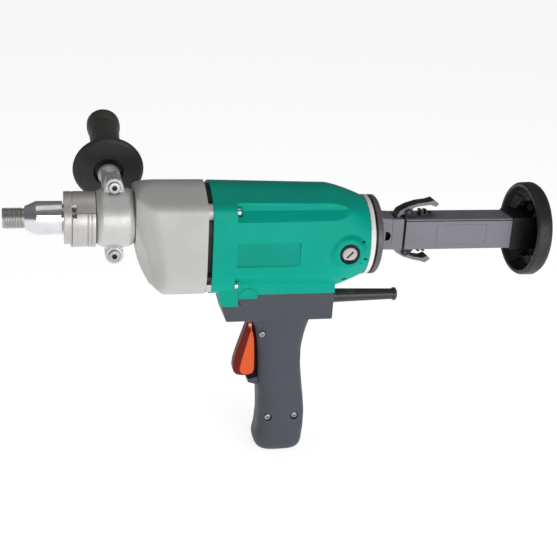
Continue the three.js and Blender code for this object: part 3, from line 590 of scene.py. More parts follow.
def threaded_stub():
    """The core bit thread: a ridge that climbs one pitch in each turn, with chamfered ends."""
    turns_round = 72
    rows = []
    for x in np.arange(TIP_X, CONE_X - 1.4, 0.25):
        angle = np.linspace(0, 2 * math.pi, turns_round, endpoint=False)
        wave = np.abs(((x / THREAD_PITCH - angle / (2 * math.pi)) % 1) * 2 - 1)
        ridge = smoothstep(0.12, 0.88, wave) * RIDGE
        fade = min(1, (x - TIP_X) / 1.6, (CONE_X - 1.6 - x) / 1.2)
        r = THREAD_R - RIDGE + ridge * max(0, fade)
        rows.append([(x, a, b) for a, b in zip(r * np.cos(angle), r * np.sin(angle))])
    rows.append([(CONE_X + 2, *p[1:]) for p in rows[-1]])
    return skin(rows)


def spindle():
    """One turned shaft: thread, cone, collar with wrench flats, and the stepped tail inside the gearbox."""
    shank = lathe([
        (CONE_X, 0), (CONE_X, 12.3, 0.6), (CONE_END, SPINDLE_R, 3.5), (-148, SPINDLE_R, 0.5), (-148, 14),
        (-112, 14), (-112, 12), (-96.5, 12), (-96.5, 10), (-28, 10), (-28, 8), (-12.5, 8), (-12.5, 6),
        (-3.8, 6), (-3.8, 0)], 96)
    flats = [block((CONE_END + 1.2, -150), mirrored(side, SPINDLE_R - 1.5, 40), (-30, 30)) for side in (-1, 1)]
    bore = rod(WATER_BORE_R, (TIP_X - 2, -128))
    mouth = lathe([(TIP_X - 1, 0), (TIP_X - 1, 6), (TIP_X + 2, 3.5), (TIP_X + 2, 0)], 40)
    whole = cut(join(shank, threaded_stub()), bore, mouth, *flats)
    piece("spindle_turned", moved(whole, at(z=SPINDLE_Z)), "spindle_unit", "bright_steel", "spindle",
          second=("thread_steel", lambda c, n: c.x < CONE_X - 0.2), sharp=28)


def water_swivel():
    """The collar: a grooved ring, a thicker band round most of it, the hose port and a set screw."""
    front, rear = span("water_swivel", 0)
    body = lathe([
        (front, 18.4, 0.6), (front, 27.3, 0.8), (-138.6, 27.3, 0.3), (-138.6, 26.7), (-137.8, 26.7),
        (-137.8, 27.3), (rear, 27.3, 0.6), (rear, 16), (-138, 16), (-138, 18.4)], 96)
    band = lathe([
        (-138.3, 23), (-138.3, 30.3, 0.6), (-123.6, 30.3, 0.5), (-123.6, 29.4), (-122.4, 29.4),
        (-122.4, 30.6, 0.5), (-119.6, 30.6, 0.4), (-119.6, 29.8), (-118.8, 29.8), (-118.8, 30.6, 0.4),
        (rear - 0.2, 30.6, 0.8), (rear - 0.2, 23)], 96)
    band = common(band, block((-145, -110), (-50, 50), (-50, 12)))
    recess = block((-139, -133.8), (-40, -19.5), (8, 20))
    foot = block((-140, -135), (-5, 5), (-30.6, -27))
    port = across(rod(5.2, (0, 45), 32), -130.5)
    whole = moved(cut(join(body, band, foot), recess, port), at(z=SPINDLE_Z))
    piece("water_collar", whole, "housing", "machined_aluminium", "water_swivel", bevel=0.35)
    screw = cut(rod(2.3, (18, 21.4), 24, 0.3), rod(1.2, (20, 23), 6))
    screw_place = facing((0, -1, 0), (-136.4, 0, SPINDLE_Z + 14))
    piece("collar_set_screw", moved(screw, screw_place), "housing", "dark_steel")


def inlet_nipple():
    """The hose nipple on the far side, with four barbs."""
    x, _, z = (centre("water_inlet") - ORIGIN) / MM
    barbs = [(35.0 + 2.2 * k + d, r) for k in range(4) for d, r in ((0.2, 4.9), (2.1, 4.1))]
    profile = [(17.5, 2.6), (17.5, 4.7), (31, 4.7), (31, 7, 0.4), (35, 7, 0.4), (35, 4.1)] + barbs
    profile += [(45, 4.1, 0.3), (45, 2.6)]
    piece("inlet_nipple", across(lathe(profile, 48), x, z), "housing", "brass", "water_inlet", bevel=0.15)


# ---------------------------------------------------------------- side handle
CLAMP_X = -95.5
BOLT_Z = (34.5, -39)
NECK_R = 24
STUD_R = 5.2
HANDLE_RISE = 16             # degrees above level, on the far side
# Turns a piece drawn along +z, or along +x, into the direction of the side handle.
HANDLE_FROM_Z = at(x=CLAMP_X) @ turn(HANDLE_RISE - 90, "X")
HANDLE_FROM_X = HANDLE_FROM_Z @ turn(-90, "Y")


def clamp():
    """The cast clamp ring with its lugs and handle arm, split in two along the middle."""
    front, rear = span("clamp_near", 0)
    ring = lathe([
        (front, 20), (front, 27, 2), (front + 6, 30.8, 4), (-90, 31, 4), (rear - 5, 30.6, 3), (rear, 27.5, 2),
        (rear, 20)], 96)
    lugs = [across(rod(9.4, (-10.2, 10.2), 64, 1), CLAMP_X, z) for z in BOLT_Z]
    upper = prism([(-111, 0), (-107.5, 26), (-104.8, 36), (-86.2, 36), (-83.5, 26), (-80, 0)], (-9.6, 9.6))
    lower = block((-104.6, -86.4), (-8.8, 8.8), (-40, 0))
    arm = prism([(-13, 20), (-9.4, 52), (-8.6, 84), (8.6, 84), (9.4, 52), (13, 20)], (-8.8, 8.8))
    arm = moved(arm, HANDLE_FROM_Z)
    arm_end = moved(lathe([(78, 0), (78, 9), (84, 12.2, 3), (90, 12.2, 1.5), (90, 0)], 64), HANDLE_FROM_X)
    web = prism([(-108, 4), (-106, 24, 4), (-102, 40, 4), (-88, 40, 4), (-85, 24, 4), (-83, 4)], (-6, 26))
    solid = cast_form(join(ring, *lugs, upper, lower, arm, arm_end, web), 0.7, 3)
    around = (-60, 120), (-80, 90)
    whole = cut(
        solid, rod(NECK_R + 0.4, (front - 6, rear + 6), 96), moved(rod(STUD_R, (60, 100), 32), HANDLE_FROM_X),
        moved(rod(3.2, (-12, -3), 24), at(z=68), HANDLE_FROM_Z),
        block((front - 20, front + 0.05), *around), block((rear - 0.05, rear + 20), *around),
        *[across(rod(3.4, (-40, 40), 24), CLAMP_X, z) for z in BOLT_Z])
    for word, shape, side in (("near", whole.copy(), (-60, -0.5)), ("far", whole, (0.5, 120))):
        half = common(shape, block((-140, -50), side, (-80, 90)))
        piece(f"clamp_casting_{word}", moved(half, at(z=SPINDLE_Z)), "side_handle", "cast_aluminium",
              f"clamp_{word}")
    for node, z in (("clamp_bolt_upper", BOLT_Z[0]), ("clamp_bolt_lower", BOLT_Z[1])):
        axis_z = SPINDLE_Z + z

        # The walls and floor of the hex socket get black: painted shade in the recess.
        def in_socket(c, n):
            return math.hypot(c.x - CLAMP_X, c.z - axis_z) < 3.1 and -13.4 < c.y < -10.5

        bolt = lathe([(-13.6, 0), (-13.6, 6.2, 1), (-10, 6.2), (-10, 3), (12, 3, 0.5), (12, 0)], 48)
        bolt = across(cut(bolt, rod(3, (-18, -11), 6)), CLAMP_X, axis_z)
        piece(node + "_head", bolt, "side_handle", "steel", node, second=("black_plastic", in_socket))
    nut = cut(rod(6.4, (8.4, 12.4), 6), rod(3, (6, 14), 24))
    piece("arm_nut", moved(nut, at(z=75), HANDLE_FROM_Z, at(z=SPINDLE_Z)), "side_handle", "steel", bevel=0.5)


def side_handle():
    """The cupped guard disc and the waisted grip, on the stud of the clamp's arm."""
    on_handle = at(z=SPINDLE_Z) @ HANDLE_FROM_X
    bore_r = STUD_R + 0.1
    guard = lathe([
        (96.8, bore_r), (96.8, 14.6, 1), (91.2, 16.6, 1.2), (93.6, 27, 5), (95.4, 35.5, 3), (97.8, 39.4, 2),
        (101.4, 38.8, 2), (102.2, 33, 3), (103.9, 20), (103.9, bore_r)], 128)
    piece("guard_disc_moulded", moved(guard, on_handle), "side_handle", "rubber", "guard_disc")
    grip = lathe([
        (104.4, bore_r), (104.4, 17.2, 1), (110, 18, 3), (128, 17, 9), (152, 16.6, 9), (181, 17.6, 5),
        (188, 18.4, 1), (188.6, 17.3), (190, 17.3), (190.6, 19, 1), (197, 19.5, 3), (206, 19.2, 6),
        (212.5, 14.5, 5), (213.9, 6, 3), (213.9, 0), (152, 0), (152, bore_r)], 96)
    piece("side_grip_moulded", moved(grip, on_handle), "side_handle", "grip_rubber", "side_grip", slot="rubber")


# ---------------------------------------------------------------- body shells
SIDE, ROOF, FLOOR = 47.0, 61.0, -57.0
MID_Z = 8.0
WALL = 3.6
ANGLES = 288


def soft_section(angle, walls, sharpness=20):
    """Distance from the middle to a section bounded by flat walls with softened corners.

    A wall is (degrees of its outward normal from +y, distance). Higher sharpness makes tighter corners."""
    total = np.zeros_like(angle)
    for degrees, distance in walls:
        reach = np.cos(angle - math.radians(degrees)) / distance
        total += np.clip(reach, 0, None) ** sharpness
    return total ** (-1 / sharpness)


def barrel_walls(side, roof, floor):
    up, down = roof - MID_Z, MID_Z - floor
    return [
        (0, side), (180, side), (90, up * 1.02), (64, up * 0.985), (116, up * 0.985),
        (270, down * 1.02), (300, down * 1.08), (240, down * 1.08), (335, side * 1.28), (205, side * 1.28)]


def barrel_radius(angle, shrink=0.0):
    return soft_section(angle, barrel_walls(SIDE, ROOF - shrink, FLOOR + shrink))


def ring_points(x, angle, radius):
    return [(x, r * math.cos(a), MID_Z + r * math.sin(a)) for a, r in zip(angle, radius)]


def gear_housing():
    """The cast gearbox: the barrel's section, closed in front by a nose and two slanting cheeks."""
    angle = np.linspace(0, 2 * math.pi, ANGLES, endpoint=False)
    nose, rear = -74.6, -JOINT_GAP
    base = barrel_radius(angle) + 0.3
    depths = [0, 2.5, 7, 14, 24, 36, 72]
    height = MID_Z + base * np.sin(angle)
    rings = []
    for x in np.concatenate([np.linspace(nose, nose + 9, 16), np.linspace(nose + 9.6, rear, 70)]):
        # The cheeks reach the flat sides sooner at the top than at the bottom.
        from_nose = x - nose - 0.2 * (33 - height)
        half = np.interp(from_nose, [-30, 0, 2.5, 7, 14, 19, 36], [8, 27, 31, 37, 44, 49, 80])
        low = np.interp(x - nose, depths, [14, 28, 40, 53, 61, 78, 180])
        high = np.interp(x - nose, depths, [44, 48.5, 52, 56, 64, 80, 160])
        cheek = 25 + 1.25 * (x - nose) + 0.3 * low
        walls = [(0, half), (180, half), (270, low), (90, high), (318, cheek), (222, cheek)]
        limit = soft_section(angle, walls, 14)
        rings.append((x, (base ** -24 + limit ** -24) ** (-1 / 24)))
    outer = [ring_points(x, angle, r) for x, r in rings]
    inner = [ring_points(x, angle, r - WALL) for x, r in reversed(rings) if x > nose + WALL + 2]
    shell = skin(outer + inner)
    neck = lathe([(-114, 0), (-114, NECK_R, 0.8), (nose + 3, NECK_R), (nose + 3, 0)], 96)
    neck = moved(neck, at(z=SPINDLE_Z))
    bore = moved(rod(20.1, (-116, -96), 64), at(z=SPINDLE_Z))
    shaft_hole = moved(rod(16.2, (-100, nose + 8), 64), at(z=SPINDLE_Z))
    whole = cut(join(shell, neck), bore, shaft_hole)
    piece("gear_casting", whole, "housing", "grey_paint", "gear_housing", sharp=40)


def gap_posts():
    """The ends of the bolt posts that show in the gap between gearbox and motor."""
    for k, (y, z) in enumerate([(-35.5, 37), (35.5, 37), (-33, -42), (33, -42)]):
        post = moved(rod(9, (-JOINT_GAP + 0.1, JOINT_GAP - 0.1), 40), at(0, y, z))
        piece(f"gap_post_{k + 1}", post, "housing", "cast_aluminium")


SCREW_X = 27.6
SCREW_PLACES = [(-40.5, 38.5), (40.5, 38.5), (-38.5, -42.5), (38.5, -42.5)]
BRUSH_X, BRUSH_TILT = 149.0, 8
LABEL_X, LABEL_Z, LABEL_DEPTH_Y = (28, 96), (-20.3, 6.3), 45.3
SADDLE_BOSS_X, SADDLE_BOSS_Z = 44.8, -61.5
VENTS = [(164.8, 5.2, 4), (168.6, -15.1, 5), (163.6, -19.6, 4), (148.4, -39.3, 6)]      # x, z, length


def grooved(angle, radius):
    """The section with its four shoulders stepped in, for the screwdriver that reaches the housing screws."""
    degrees = np.degrees(angle) % 360
    for mirror in (degrees, (180 - degrees) % 360):
        ledge = 47.5 / np.clip(np.cos(np.radians(mirror - 135)), 0.2, None)
        riser = smoothstep(133.5, 140, mirror) * (mirror < 170)
        radius = np.minimum(radius, radius * (1 - riser) + ledge * riser)
        lower = 59.5 / np.clip(np.cos(np.radians(mirror - 228)), 0.2, None)
        radius = np.where((mirror > 205) & (mirror < 250), np.minimum(radius, lower), radius)
    return radius


def motor_shell():
    """The green housing: a barrel that narrows to a round rear end, with its grooves and brush bosses."""
    angle = np.linspace(0, 2 * math.pi, ANGLES, endpoint=False)
    front, rear = JOINT_GAP, span("motor_housing", 0)[1]
    xs = np.sort(np.concatenate([np.linspace(front, rear, 170), [27.3, 27.7]]))
    x, a = np.meshgrid(xs, angle, indexing="ij")
    taper = np.clip((x - 130) / (rear - 130), 0, 1) ** 1.35
    shrink = np.clip((x - front) / (133 - front), 0, 1)
    full = barrel_radius(a) * (1 - 0.055 * shrink * np.abs(np.sin(a)))
    round_end = -MID_Z * np.sin(a) + np.sqrt(43.5 ** 2 - (MID_Z * np.cos(a)) ** 2)
    smooth = full + (round_end - full) * taper
    stepped = np.minimum(smooth, grooved(a, full))
    reach = smoothstep(27.3, 27.7, x) * (1 - smoothstep(140, 153, x))
    radius = smooth + (stepped - smooth) * reach
    y, z = radius * np.cos(a), MID_Z + radius * np.sin(a)
    # Bosses round the brush caps, blended into the taper.
    for side in (-1, 1):
        boss_z = side * 48 * math.sin(math.radians(BRUSH_TILT))
        away = np.hypot(x - BRUSH_X, z - boss_z)
        rise = (1 - smoothstep(14.5, 21, away)) * (side * y > 0)
        y = y + side * np.clip(49.4 - side * y, 0, None) * rise
    outer = [[(xs[i], y[i, k], z[i, k]) for k in range(ANGLES)] for i in range(len(xs))]
    wall = np.where((x == front) | (x == rear), WALL, WALL + 0.6)
    inside = stepped - wall
    picks = [len(xs) - 1, *range(len(xs) - 4, 0, -7), 0]
    inner = [ring_points(float(xs[i]), angle, inside[i]) for i in picks]
    return skin(outer + inner, closed_way=True)


def rectangle(x_span, z_span, radius):
    (x0, x1), (z0, z1) = x_span, z_span
    return [(x0, z0, radius), (x1, z0, radius), (x1, z1, radius), (x0, z1, radius)]


def on_label(c, n):
    """Faces on the floor of the blank label's recess."""
    return (abs(abs(c.y) - LABEL_DEPTH_Y) < 0.1 and LABEL_X[0] < c.x < LABEL_X[1]
            and LABEL_Z[0] - 0.1 < c.z < LABEL_Z[1] + 0.1)


def motor_housing():
    """The green shell: a saddle and skirts over the handle, pockets, brush holes, vents and screws."""
    saddle = prism([(13.5, -44), (13.5, -58), (141.5, -58), (141.5, -44)], (-28, 28))
    room = block((5, 150), (-25.4, 25.4), (-90, -58))
    bite = block((34.4, 56), (-40, 40), (-80, -62))
    pockets = [moved(rod(5.4, (SCREW_X - 0.2, SCREW_X + 5.6), 40), at(0, y, z)) for y, z in SCREW_PLACES]
    skirts, brush_holes, vents = [], [], []
    for side in (-1, 1):
        skirt = [(13.5, -46), (13.5, -64), (18, -71, 2), (SADDLE_BOSS_X, -71), (SADDLE_BOSS_X, -46)]
        skirts.append(prism(skirt, mirrored(side, 25.4, 28.4)))
        skirts.append(across(rod(10.4, mirrored(side, 22, 29.2), 64), SADDLE_BOSS_X, SADDLE_BOSS_Z))
        pockets.append(prism(rectangle(LABEL_X, LABEL_Z, 1.5), mirrored(side, LABEL_DEPTH_Y, 60)))
        brush_holes.append(moved(rod(11.1, (30, 56), 48), brush_way(side)))
        for x, z, length in VENTS:
            slot = prism(rectangle((-length / 2, length / 2), (-1.1, 1.1), 1), mirrored(side, 20, 60))
            vents.append(moved(slot, at(x, 0, z)))
    shell = join(cut(join(motor_shell(), saddle), room), *skirts)
    shell = cut(shell, bite, *pockets, *brush_holes, *vents)
    piece("motor_shell", shell, "housing", "green_plastic", "motor_housing", sharp=38,
          second=("label_green", on_label))
    for k, (y, z) in enumerate(SCREW_PLACES):
        head = lathe([(SCREW_X, 0), (SCREW_X, 4, 0.2), (SCREW_X + 3.6, 4, 0.9), (SCREW_X + 4.2, 0)], 40)
        head = cut(head, *cross_slot(SCREW_X + 2.2, SCREW_X + 6))
        piece(f"housing_screw_{k + 1}", moved(head, at(0, y, z)), "housing", "bright_steel")


def cross_slot(x0, x1, reach=2.4, width=0.9):
    return [block((x0, x1), (-reach, reach), (-width / 2, width / 2)),
            block((x0, x1), (-width / 2, width / 2), (-reach, reach))]


def brush_way(side):
    """Places a piece drawn along +x on the brush line of one side."""
    tilt = math.radians(BRUSH_TILT)
    return facing((0, side * math.cos(tilt), side * math.sin(tilt)), (BRUSH_X, 0, 0))


def brush_caps():
    """On each side a slotted cap in a black collar."""
    for side, word in ((-1, "near"), (1, "far")):
        collar = lathe([(42, 8.3), (42, 10.9), (50.2, 10.9, 0.8), (50.2, 8.7, 0.4), (48.6, 8.3)], 64)
        disc = lathe([(42, 0), (42, 8), (49.8, 8, 0.8), (50.7, 6.3, 1), (50.9, 0)], 64)
        disc = cut(disc, moved(block((47.0, 54), (-4.8, 4.8), (-1.3, 1.3)), turn(-side * 55, "X")))
        # Faces deep in the slot get dark steel: painted shade inside the slot.
        piece(f"brush_cap_disc_{word}", moved(disc, brush_way(side)), "housing", "cap_plastic",
              f"brush_cap_{word}",
              second=("dark_steel", lambda c, n: abs(c.y) < 49 and abs(c.x - BRUSH_X) < 5))
        piece(f"brush_cap_collar_{word}", moved(collar, brush_way(side)), "housing", "black_plastic")


# ---------------------------------------------------------------- rear end and tail
def rear_end():
    """The light ring, a thin black disc that stands for the shade in the gap, and the dark plate with its four
    screws.
    """
    ring_x, ring_end = 173.3, 178.6
    ring = lathe([
        (ring_x, 20), (ring_x, 43.6, 0.4), (ring_x + 1.2, 44, 0.5), (ring_end - 0.6, 44, 0.5),
        (ring_end, 43.2, 0.4), (ring_end, 20)], 128)
    piece("rear_ring", ring, "housing", "ring_paint", slot="machined_aluminium")
    # A black disc fills the gap between ring and plate: painted shade in the gap.
    gasket = lathe([(178.7, 20), (178.7, 42), (181, 42), (181, 20)], 96)
    piece("rear_gap_shade_disc", gasket, "housing", "black_plastic")
    x0, x1 = 181.1, span("rear_plate", 0)[1]
    plate = lathe([(x0, 0), (x0, 43.9, 0.5), (x1 - 1.4, 43.9, 0.5), (x1, 42.6, 0.6), (x1, 0)], 128)
    around = [math.radians(45 + 90 * k) for k in range(4)]
    screw_spots = [(31.5 * math.cos(a), 31.5 * math.sin(a)) for a in around]
    sink = [(x1 - 3, 0), (x1 - 3, 2.4), (x1 - 2.4, 2.4), (x1 + 0.6, 5.6), (x1 + 0.6, 0)]
    sinks = [moved(lathe(sink, 32), at(0, y, z)) for y, z in screw_spots]
    piece("rear_plate_turned", cut(plate, *sinks), "housing", "dark_paint", "rear_plate", slot="tail_paint",
          bevel=0.2)
    for k, (y, z) in enumerate(screw_spots):
        head = lathe([(x1 - 2.9, 0), (x1 - 2.9, 2.2), (x1 - 2.4, 2.2), (x1 - 0.2, 4.6, 0.2), (x1 - 0.1, 0)], 32)
        head = cut(head, *cross_slot(x1 - 1.6, x1 + 1))
        piece(f"plate_screw_{k + 1}", moved(head, at(0, y, z)), "housing", "steel")


NECK_END = 217.8
WINDOW_X, WINDOW_Z = 197.6, -1.8


def tail_neck():
    """The cast neck on the rear plate, with a window on each side, and the spigot for the tail tube."""
    x0 = span("rear_plate", 0)[1]
    foot = prism([(x0 + 0.1, -20, 1), (x0 + 4.6, -20, 2), (x0 + 4.6, 22, 2), (x0 + 0.1, 22, 1)], (-21, 21))
    body = prism([(x0 + 3, -17), (NECK_END, -17.4), (NECK_END, 17.4), (209, 17.2), (x0 + 3, 19)], (-17, 17))
    spigot = block((NECK_END - 2, 250), (-14.6, 14.6), (-14, 14))
    notches = [block((209, 216.2), (-9.5, 9.5), mirrored(side, 12.8, 30)) for side in (-1, 1)]
    outline = [(0, -5.2), (4.6, -4.2, 2), (6.2, 0, 3), (4.6, 4.2, 2), (0, 5.2)]
    windows = [moved(prism(outline, mirrored(side, 9, 30)), at(WINDOW_X, 0, WINDOW_Z)) for side in (-1, 1)]
    step = block((204.4, 205.2), (-30, -16.4), (-12, 19))
    whole = cut(join(foot, body, spigot), *notches, *windows, step)

    def in_shade(c, n):
        in_window = 196.8 < c.x < 204 and 8 < abs(c.y) < 16.9 and abs(c.z - TAIL_Z - WINDOW_Z) < 5.5
        return c.x > NECK_END + 0.1 or in_window

    piece("tail_neck_cast", moved(whole, at(z=TAIL_Z)), "housing", "tail_paint", "tail_neck", bevel=0.7,
          second=("black_plastic", in_shade))


def tail_tube():
    """The square tube: a groove along each top edge, a panel line on each side, ears for the latches."""
    x0, x1 = span("tail_tube", 0)
    w, h = 18, 17.45
    top_groove = h - 2.7, h - 1.5
    groove_floor = w - 1.2
    shell = skin([[(x, y, z) for y, z in fillet(rectangle((-w, w), (-h, h), 1.6))] for x in (x0, x1)])
    inside = block((x0 - 2, x1 + 2), (-w + 3, w - 3), (-h + 3, h - 3))
    grooves = [block((x0 - 1, x1 + 1), mirrored(side, groove_floor, 30), top_groove) for side in (-1, 1)]
    panel_lines, ears = [], []
    for side in (-1, 1):
        faces = mirrored(side, w - 0.4, 30)
        panel_lines += [block((256, 315), faces, (-11.7, -10.9)), block((314.2, 315), faces, (-11.7, 11.3)),
                        block((256, 256.8), faces, (-11.7, 11.3)), block((256, 315), faces, (10.5, 11.3))]
        for level in (-1, 1):
            outline = [(x0 + 0.3, level * 15), (x0 + 0.3, level * 25, 1), (225.5, level * 27, 3),
                       (229.5, level * 25, 2), (236.5, level * 15)]
            ears.append(moved(prism(outline, (-1.2, 1.2)), at(y=side * 9.6)))
    whole = cut(join(shell, *ears), inside, *grooves, *panel_lines)

    def in_shade(c, n):
        in_groove = abs(abs(c.y) - groove_floor) < 0.05 and c.z - TAIL_Z > h - 2.8
        return abs(c.z - TAIL_Z) > h + 0.2 or in_groove

    piece("tail_tube_drawn", moved(whole, at(z=TAIL_Z)), "housing", "tail_paint", "tail_tube", bevel=0.25,
          second=("black_plastic", in_shade))


LATCH_PIN_X, LATCH_PIN_Z = 224.5, 23.3


def latches():
    """A lever above and below: a bent bar whose upward faces are painted black as shade, over a toothed rubber
    stop on the tube.
    """
    # Faces that point up get black: painted shade on the upper lever's top and on the lower lever's inner face.
    def upward_shade(c, n):
        return n.z > 0.45 and abs(c.z - TAIL_Z) > 18

    stop_teeth = {"upper": [(240, 23.6), (245.6, 23.4), (251.4, 20.9)], "lower": [(240, 23.6), (245.6, 23.4)]}
    for level, word, tip in ((1, "upper", 0.0), (-1, "lower", -4.0)):
        outline = [
            (212.6, 14.8, 0.6), (212.4, 19.5, 1), (215, 24, 2), (224, 29, 4), (236, 32.7, 4),
            (247.5 + tip, 34.2, 2), (254 + tip, 36.3, 1.2), (260 + tip, 31.9, 1.2), (256.5 + tip, 28.6, 1),
            (250 + tip, 30.8, 2), (236, 29.2, 3), (230, 27.3, 2), (228.5, 20.5, 1), (219, 20.5, 1),
            (215.8, 19, 0.6), (215.8, 14.8, 0.6)]
        outline = [(x, level * z, radius) for x, z, radius in outline]
        pin_z = level * LATCH_PIN_Z
        bar = join(prism(outline, (-7.9, 7.9)), across(rod(4.2, (-7.9, 7.9), 40), LATCH_PIN_X, pin_z))
        hole = across(rod(2.1, (-12, 12), 32), LATCH_PIN_X, pin_z)
        spring_room = block((219.9, 233.5), (-4, 4), mirrored(level, 10, 27.4))
        bar = moved(cut(bar, hole, spring_room), at(z=TAIL_Z))
        piece(f"latch_bar_{word}", bar, f"latch_{word}", "tail_paint", f"latch_lever_{word}", bevel=0.5,
              second=("black_plastic", upward_shade))
        teeth = [block((x, x + 3.2), (-6, 6), mirrored(level, 17, z)) for x, z in stop_teeth[word]]
        foot_end = stop_teeth[word][-1][0] + 3.2
        stop = join(block((240, foot_end), (-6, 6), mirrored(level, 17, 20.1)), *teeth)
        piece(f"latch_stop_{word}", moved(stop, at(z=TAIL_Z)), "housing", "rubber", bevel=0.6)
        pin = across(rod(2, (-11.4, 11.4), 32, 0.4), LATCH_PIN_X, TAIL_Z + pin_z)
        piece(f"latch_pivot_{word}", pin, "housing", "dark_steel", f"latch_pin_{word}")


def chest_pad():
    """The rubber dish with ribs round a hub, hollow side to the front, and the socket that holds the tube."""
    front, rear = span("chest_pad", 0)
    dish = lathe([
        (rear, 0), (rear, 42, 6), (rear - 2.4, 50.5, 3), (rear - 6.5, 53, 3), (front + 2.5, 52.6, 2),
        (front, 50.8, 1.2), (front + 0.6, 47.8, 1), (front + 8, 46, 3), (rear - 4.6, 41.5, 3),
        (rear - 4.5, 0)], 160)
    ribs = [moved(block((front + 7, rear - 2), (-0.9, 0.9), (24, 47)), turn(30 * (k + 0.5), "X"))
            for k in range(12)]
    hub = lathe([
        (front + 7, 20), (front + 7, 31.6, 0.6), (front + 8.6, 31.6, 0.6), (rear - 2, 31.6),
        (rear - 2, 20)], 96)
    room = block((front - 8, rear - 4.49), (-20.6, 20.6), (-20.05, 20.05))
    whole = moved(cut(join(dish, hub, *ribs), room), at(z=TAIL_Z))
    piece("chest_pad_moulded", whole, "housing", "rubber", "chest_pad", bevel=0.3)
    x0, x1 = span("pad_socket", 0)
    section = fillet(rectangle((-19.7, 19.7), (-19, 19), 2))
    rings = [[(x, y * s, z * s) for y, z in section] for x, s in ((x0, 0.965), (x0 + 1, 1.0), (x1, 1.0))]
    socket = cut(skin(rings), block((x0 - 2, 369.3), (-18.3, 18.3), (-17.75, 17.75)))
    piece("pad_socket_moulded", moved(socket, at(z=TAIL_Z)), "housing", "black_plastic", "pad_socket")


# ---------------------------------------------------------------- pistol grip
FOOT_Z, STEM_TOP_Z = -240, -76
GRIP_SHAPE = [
    # height, front x, rear x, half width
    (STEM_TOP_Z, 47, 126, 23.5), (-88, 48, 124, 23.5), (-98, 56, 118.8, 23.5), (-112, 60, 115, 23.5),
    (-130, 62, 112.4, 23), (-150, 63.5, 113.2, 22.5), (-172, 64, 116, 22.5), (-192, 65.5, 119, 23),
    (-208, 66.5, 120.8, 23.5), (-228, 65.3, 120.8, 24), (FOOT_Z, 63, 119.6, 24)]
HANDLE_SCREWS = [(64.8, -107.8), (76.1, -210), (106.4, -209.3)]
TRIGGER_PIN_X, TRIGGER_PIN_Z = 53, -101
CABLE_Z = -72


def grip_stem():
    """The grip: rounded sections along a smooth path, ending in a rounded foot."""
    shape = np.array(GRIP_SHAPE, float)[::-1]
    heights = np.linspace(FOOT_Z, STEM_TOP_Z, 90)
    sides = [np.interp(heights, shape[:, 0], shape[:, i]) for i in (1, 2, 3)]
    blur = np.array([1, 2, 3, 4, 3, 2, 1], float) / 16
    sides = [np.convolve(np.pad(s, 3, "edge"), blur, "valid") for s in sides]
    rows = []
    angle = np.linspace(0, 2 * math.pi, 96, endpoint=False)
    c, s = np.cos(angle), np.sin(angle)
    cx, cy = np.sign(c) * np.abs(c) ** 0.62, np.sign(s) * np.abs(s) ** 0.62

    def ring(height, front, rear, half, keep=1):
        middle, reach = (front + rear) / 2, (rear - front) / 2
        rows.append([(middle + reach * keep * u, half * keep * v, height) for u, v in zip(cx, cy)])

    for t in np.linspace(math.pi / 2 * 0.98, 0.08, 16):
        ring(FOOT_Z - 14 * math.sin(t), *(side[0] for side in sides), 0.55 + 0.45 * math.cos(t) ** 0.6)
    for measures in zip(heights, *sides):
        ring(*measures)
    return skin(rows)


def handle():
    """The two halves of base and grip: the trigger's recess and lip, lower screw bosses and screws."""
    base = prism([(16.5, -58.3), (142, -58.3), (141.6, -90, 1.5), (23, -90, 2.5), (17.5, -71, 8)], (-25, 25))
    lip = prism([(53, -170.5, 1.5), (66, -174.5, 2), (66, -164), (53.4, -167, 1)], (-10, 10))
    tongue = prism(
        [(51, -86), (51, -103), (52.5, -106, 1), (56, -107, 1), (60, -100), (60, -86)], (-3.8, 3.8))
    rooms = [
        block((27, 130.5), (-18, 18), (-84, -50)), block((72, 110), (-17, 17), (-246, -80)),
        block((40, 90), (-9.3, 9.3), (-165, -90)), moved(rod(8.4, (124, 150), 48), at(z=CABLE_Z))]
    lower_boss, holes = [], [across(rod(2.05, (-15.8, 15.8), 24), TRIGGER_PIN_X, TRIGGER_PIN_Z)]
    for side in (-1, 1):
        # The lower half of the screw boss under the housing's skirt, with a groove round it.
        boss, groove = rod(10.2, mirrored(side, 20, 28.6), 64), rod(11.2, mirrored(side, 23.4, 40), 64)
        rooms.append(across(groove, SADDLE_BOSS_X, SADDLE_BOSS_Z))
        lower_half = block((30, 60), (-40, 40), (-75, -62.3))
        lower_boss.append(common(across(boss, SADDLE_BOSS_X, SADDLE_BOSS_Z), lower_half))
        holes += [across(rod(4.6, mirrored(side, 19.5, 40), 40), x, z) for x, z in HANDLE_SCREWS]
    solid = join(cut(join(base, grip_stem(), lip), *rooms), tongue, *lower_boss)
    solid = cut(solid, *holes)
    for word, whole, half in (("near", solid.copy(), (-40, -0.12)), ("far", solid, (0.12, 40))):
        shape = common(whole, block((0, 160), half, (-270, -50)))
        piece(f"handle_shell_{word}", shape, "housing", "grey_plastic", f"handle_{word}", bevel=0.5, sharp=38)
    for side, word in ((-1, "near"), (1, "far")):
        for k, (x, z) in enumerate(HANDLE_SCREWS):
            head = lathe([(19.6, 0), (19.6, 3.7), (21.4, 3.5, 0.6), (21.9, 2.4, 0.6), (21.9, 0)], 32)
            if side < 0:
                head = cut(head, *cross_slot(20.6, 24))
            place = facing((0, side, 0), (x, 0, z))
            piece(f"handle_screw_{word}_{k + 1}", moved(head, place), "housing", "steel")


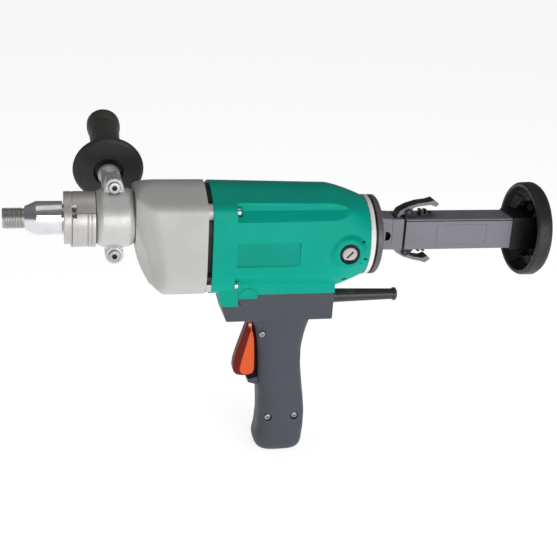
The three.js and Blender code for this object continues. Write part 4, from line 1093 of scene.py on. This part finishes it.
def trigger():
    """The trigger: flat cheeks with a sloping rim along the front, the rim painted a darker red-brown as shade.
    """
    rim = [
        (55.4, -97), (53, -96.6), (50.7, -98), (49.3, -103.5), (46.7, -112), (42.9, -124), (39.2, -136),
        (36.8, -146), (36.2, -153.5), (37.6, -159.6), (41.2, -162.8), (47, -163.9), (53, -164.1), (57, -163.4),
        (60.2, -160.6), (61.6, -156.4), (61.4, -145), (60.8, -130), (59.8, -116), (57.8, -104)]
    cheek = [
        (55.2, -107.6), (54.6, -108), (53.8, -110), (53, -113), (52, -117), (50, -125.5), (47.4, -136),
        (45, -146), (43.8, -152.5), (44, -157), (46, -159.6), (49.2, -160.9), (53, -161.4), (56, -161),
        (58.6, -158.8), (59.8, -155.4), (59.6, -145), (59, -130), (58, -118), (56.4, -110.5)]
    layers = (-8.7, cheek), (-5.2, rim), (5.2, rim), (8.7, cheek)
    body = skin([[(x, y, z) for x, z in outline] for y, outline in layers])
    long_edges = [e for e in body.edges if abs(e.verts[0].co.y - e.verts[1].co.y) > 1]
    bmesh.ops.subdivide_edges(body, edges=long_edges, cuts=2, use_grid_fill=False)
    hole = across(rod(2.1, (-12, 12), 32), TRIGGER_PIN_X, TRIGGER_PIN_Z)
    spring_seat = moved(rod(6.3, (57.5, 70), 40), at(z=-140.6))
    fork = prism([(50.2, -90), (50.2, -103), (49.2, -109), (49.2, -113), (70, -113), (70, -90)], (-4.2, 4.2))
    # Faces that don't face the sides get a darker copy of the orange: painted shade on the rim.
    piece("trigger_moulded", cut(body, hole, spring_seat, fork), "trigger_lever", "orange_plastic", "trigger",
          bevel=0.5, sharp=40, second=("red_plastic", lambda c, n: abs(n.y) < 0.93))


def cable_guard():
    """The tapered sleeve for the supply cord, with a rim at its end."""
    sleeve = lathe([
        (126, 4.3), (126, 10.5), (129, 10.5), (129, 7.6), (143, 7.6), (144, 8, 0.6), (215, 6.2),
        (217.6, 6.2, 0.6), (218, 7.4, 0.5), (221, 7.4, 0.5), (221.4, 6.2, 0.4), (221.9, 6, 0.3),
        (221.9, 4.3)], 64)
    piece("cable_guard_moulded", moved(sleeve, at(z=CABLE_Z)), "housing", "guard_rubber", "cable_guard",
          bevel=0.15)


# ---------------------------------------------------------------- pieces kept from the frame
def finish_cad_nodes():
    """Every CAD node that still shows gets the procedural finish of its slot."""
    slots = {part["node"]: part["material_slot"] for part in frame["record"]["subparts"]}
    for name, obj in frame["nodes"].items():
        obj.data.materials.clear()
        obj.data.materials.append(LOOKS[slots[name]])


camera()
studio()
LOOKS.update(build_looks())
finish_cad_nodes()
spindle()
water_swivel()
inlet_nipple()
clamp()
side_handle()
gear_housing()
gap_posts()
motor_housing()
brush_caps()
rear_end()
tail_neck()
tail_tube()
latches()
chest_pad()
handle()
trigger()
cable_guard()
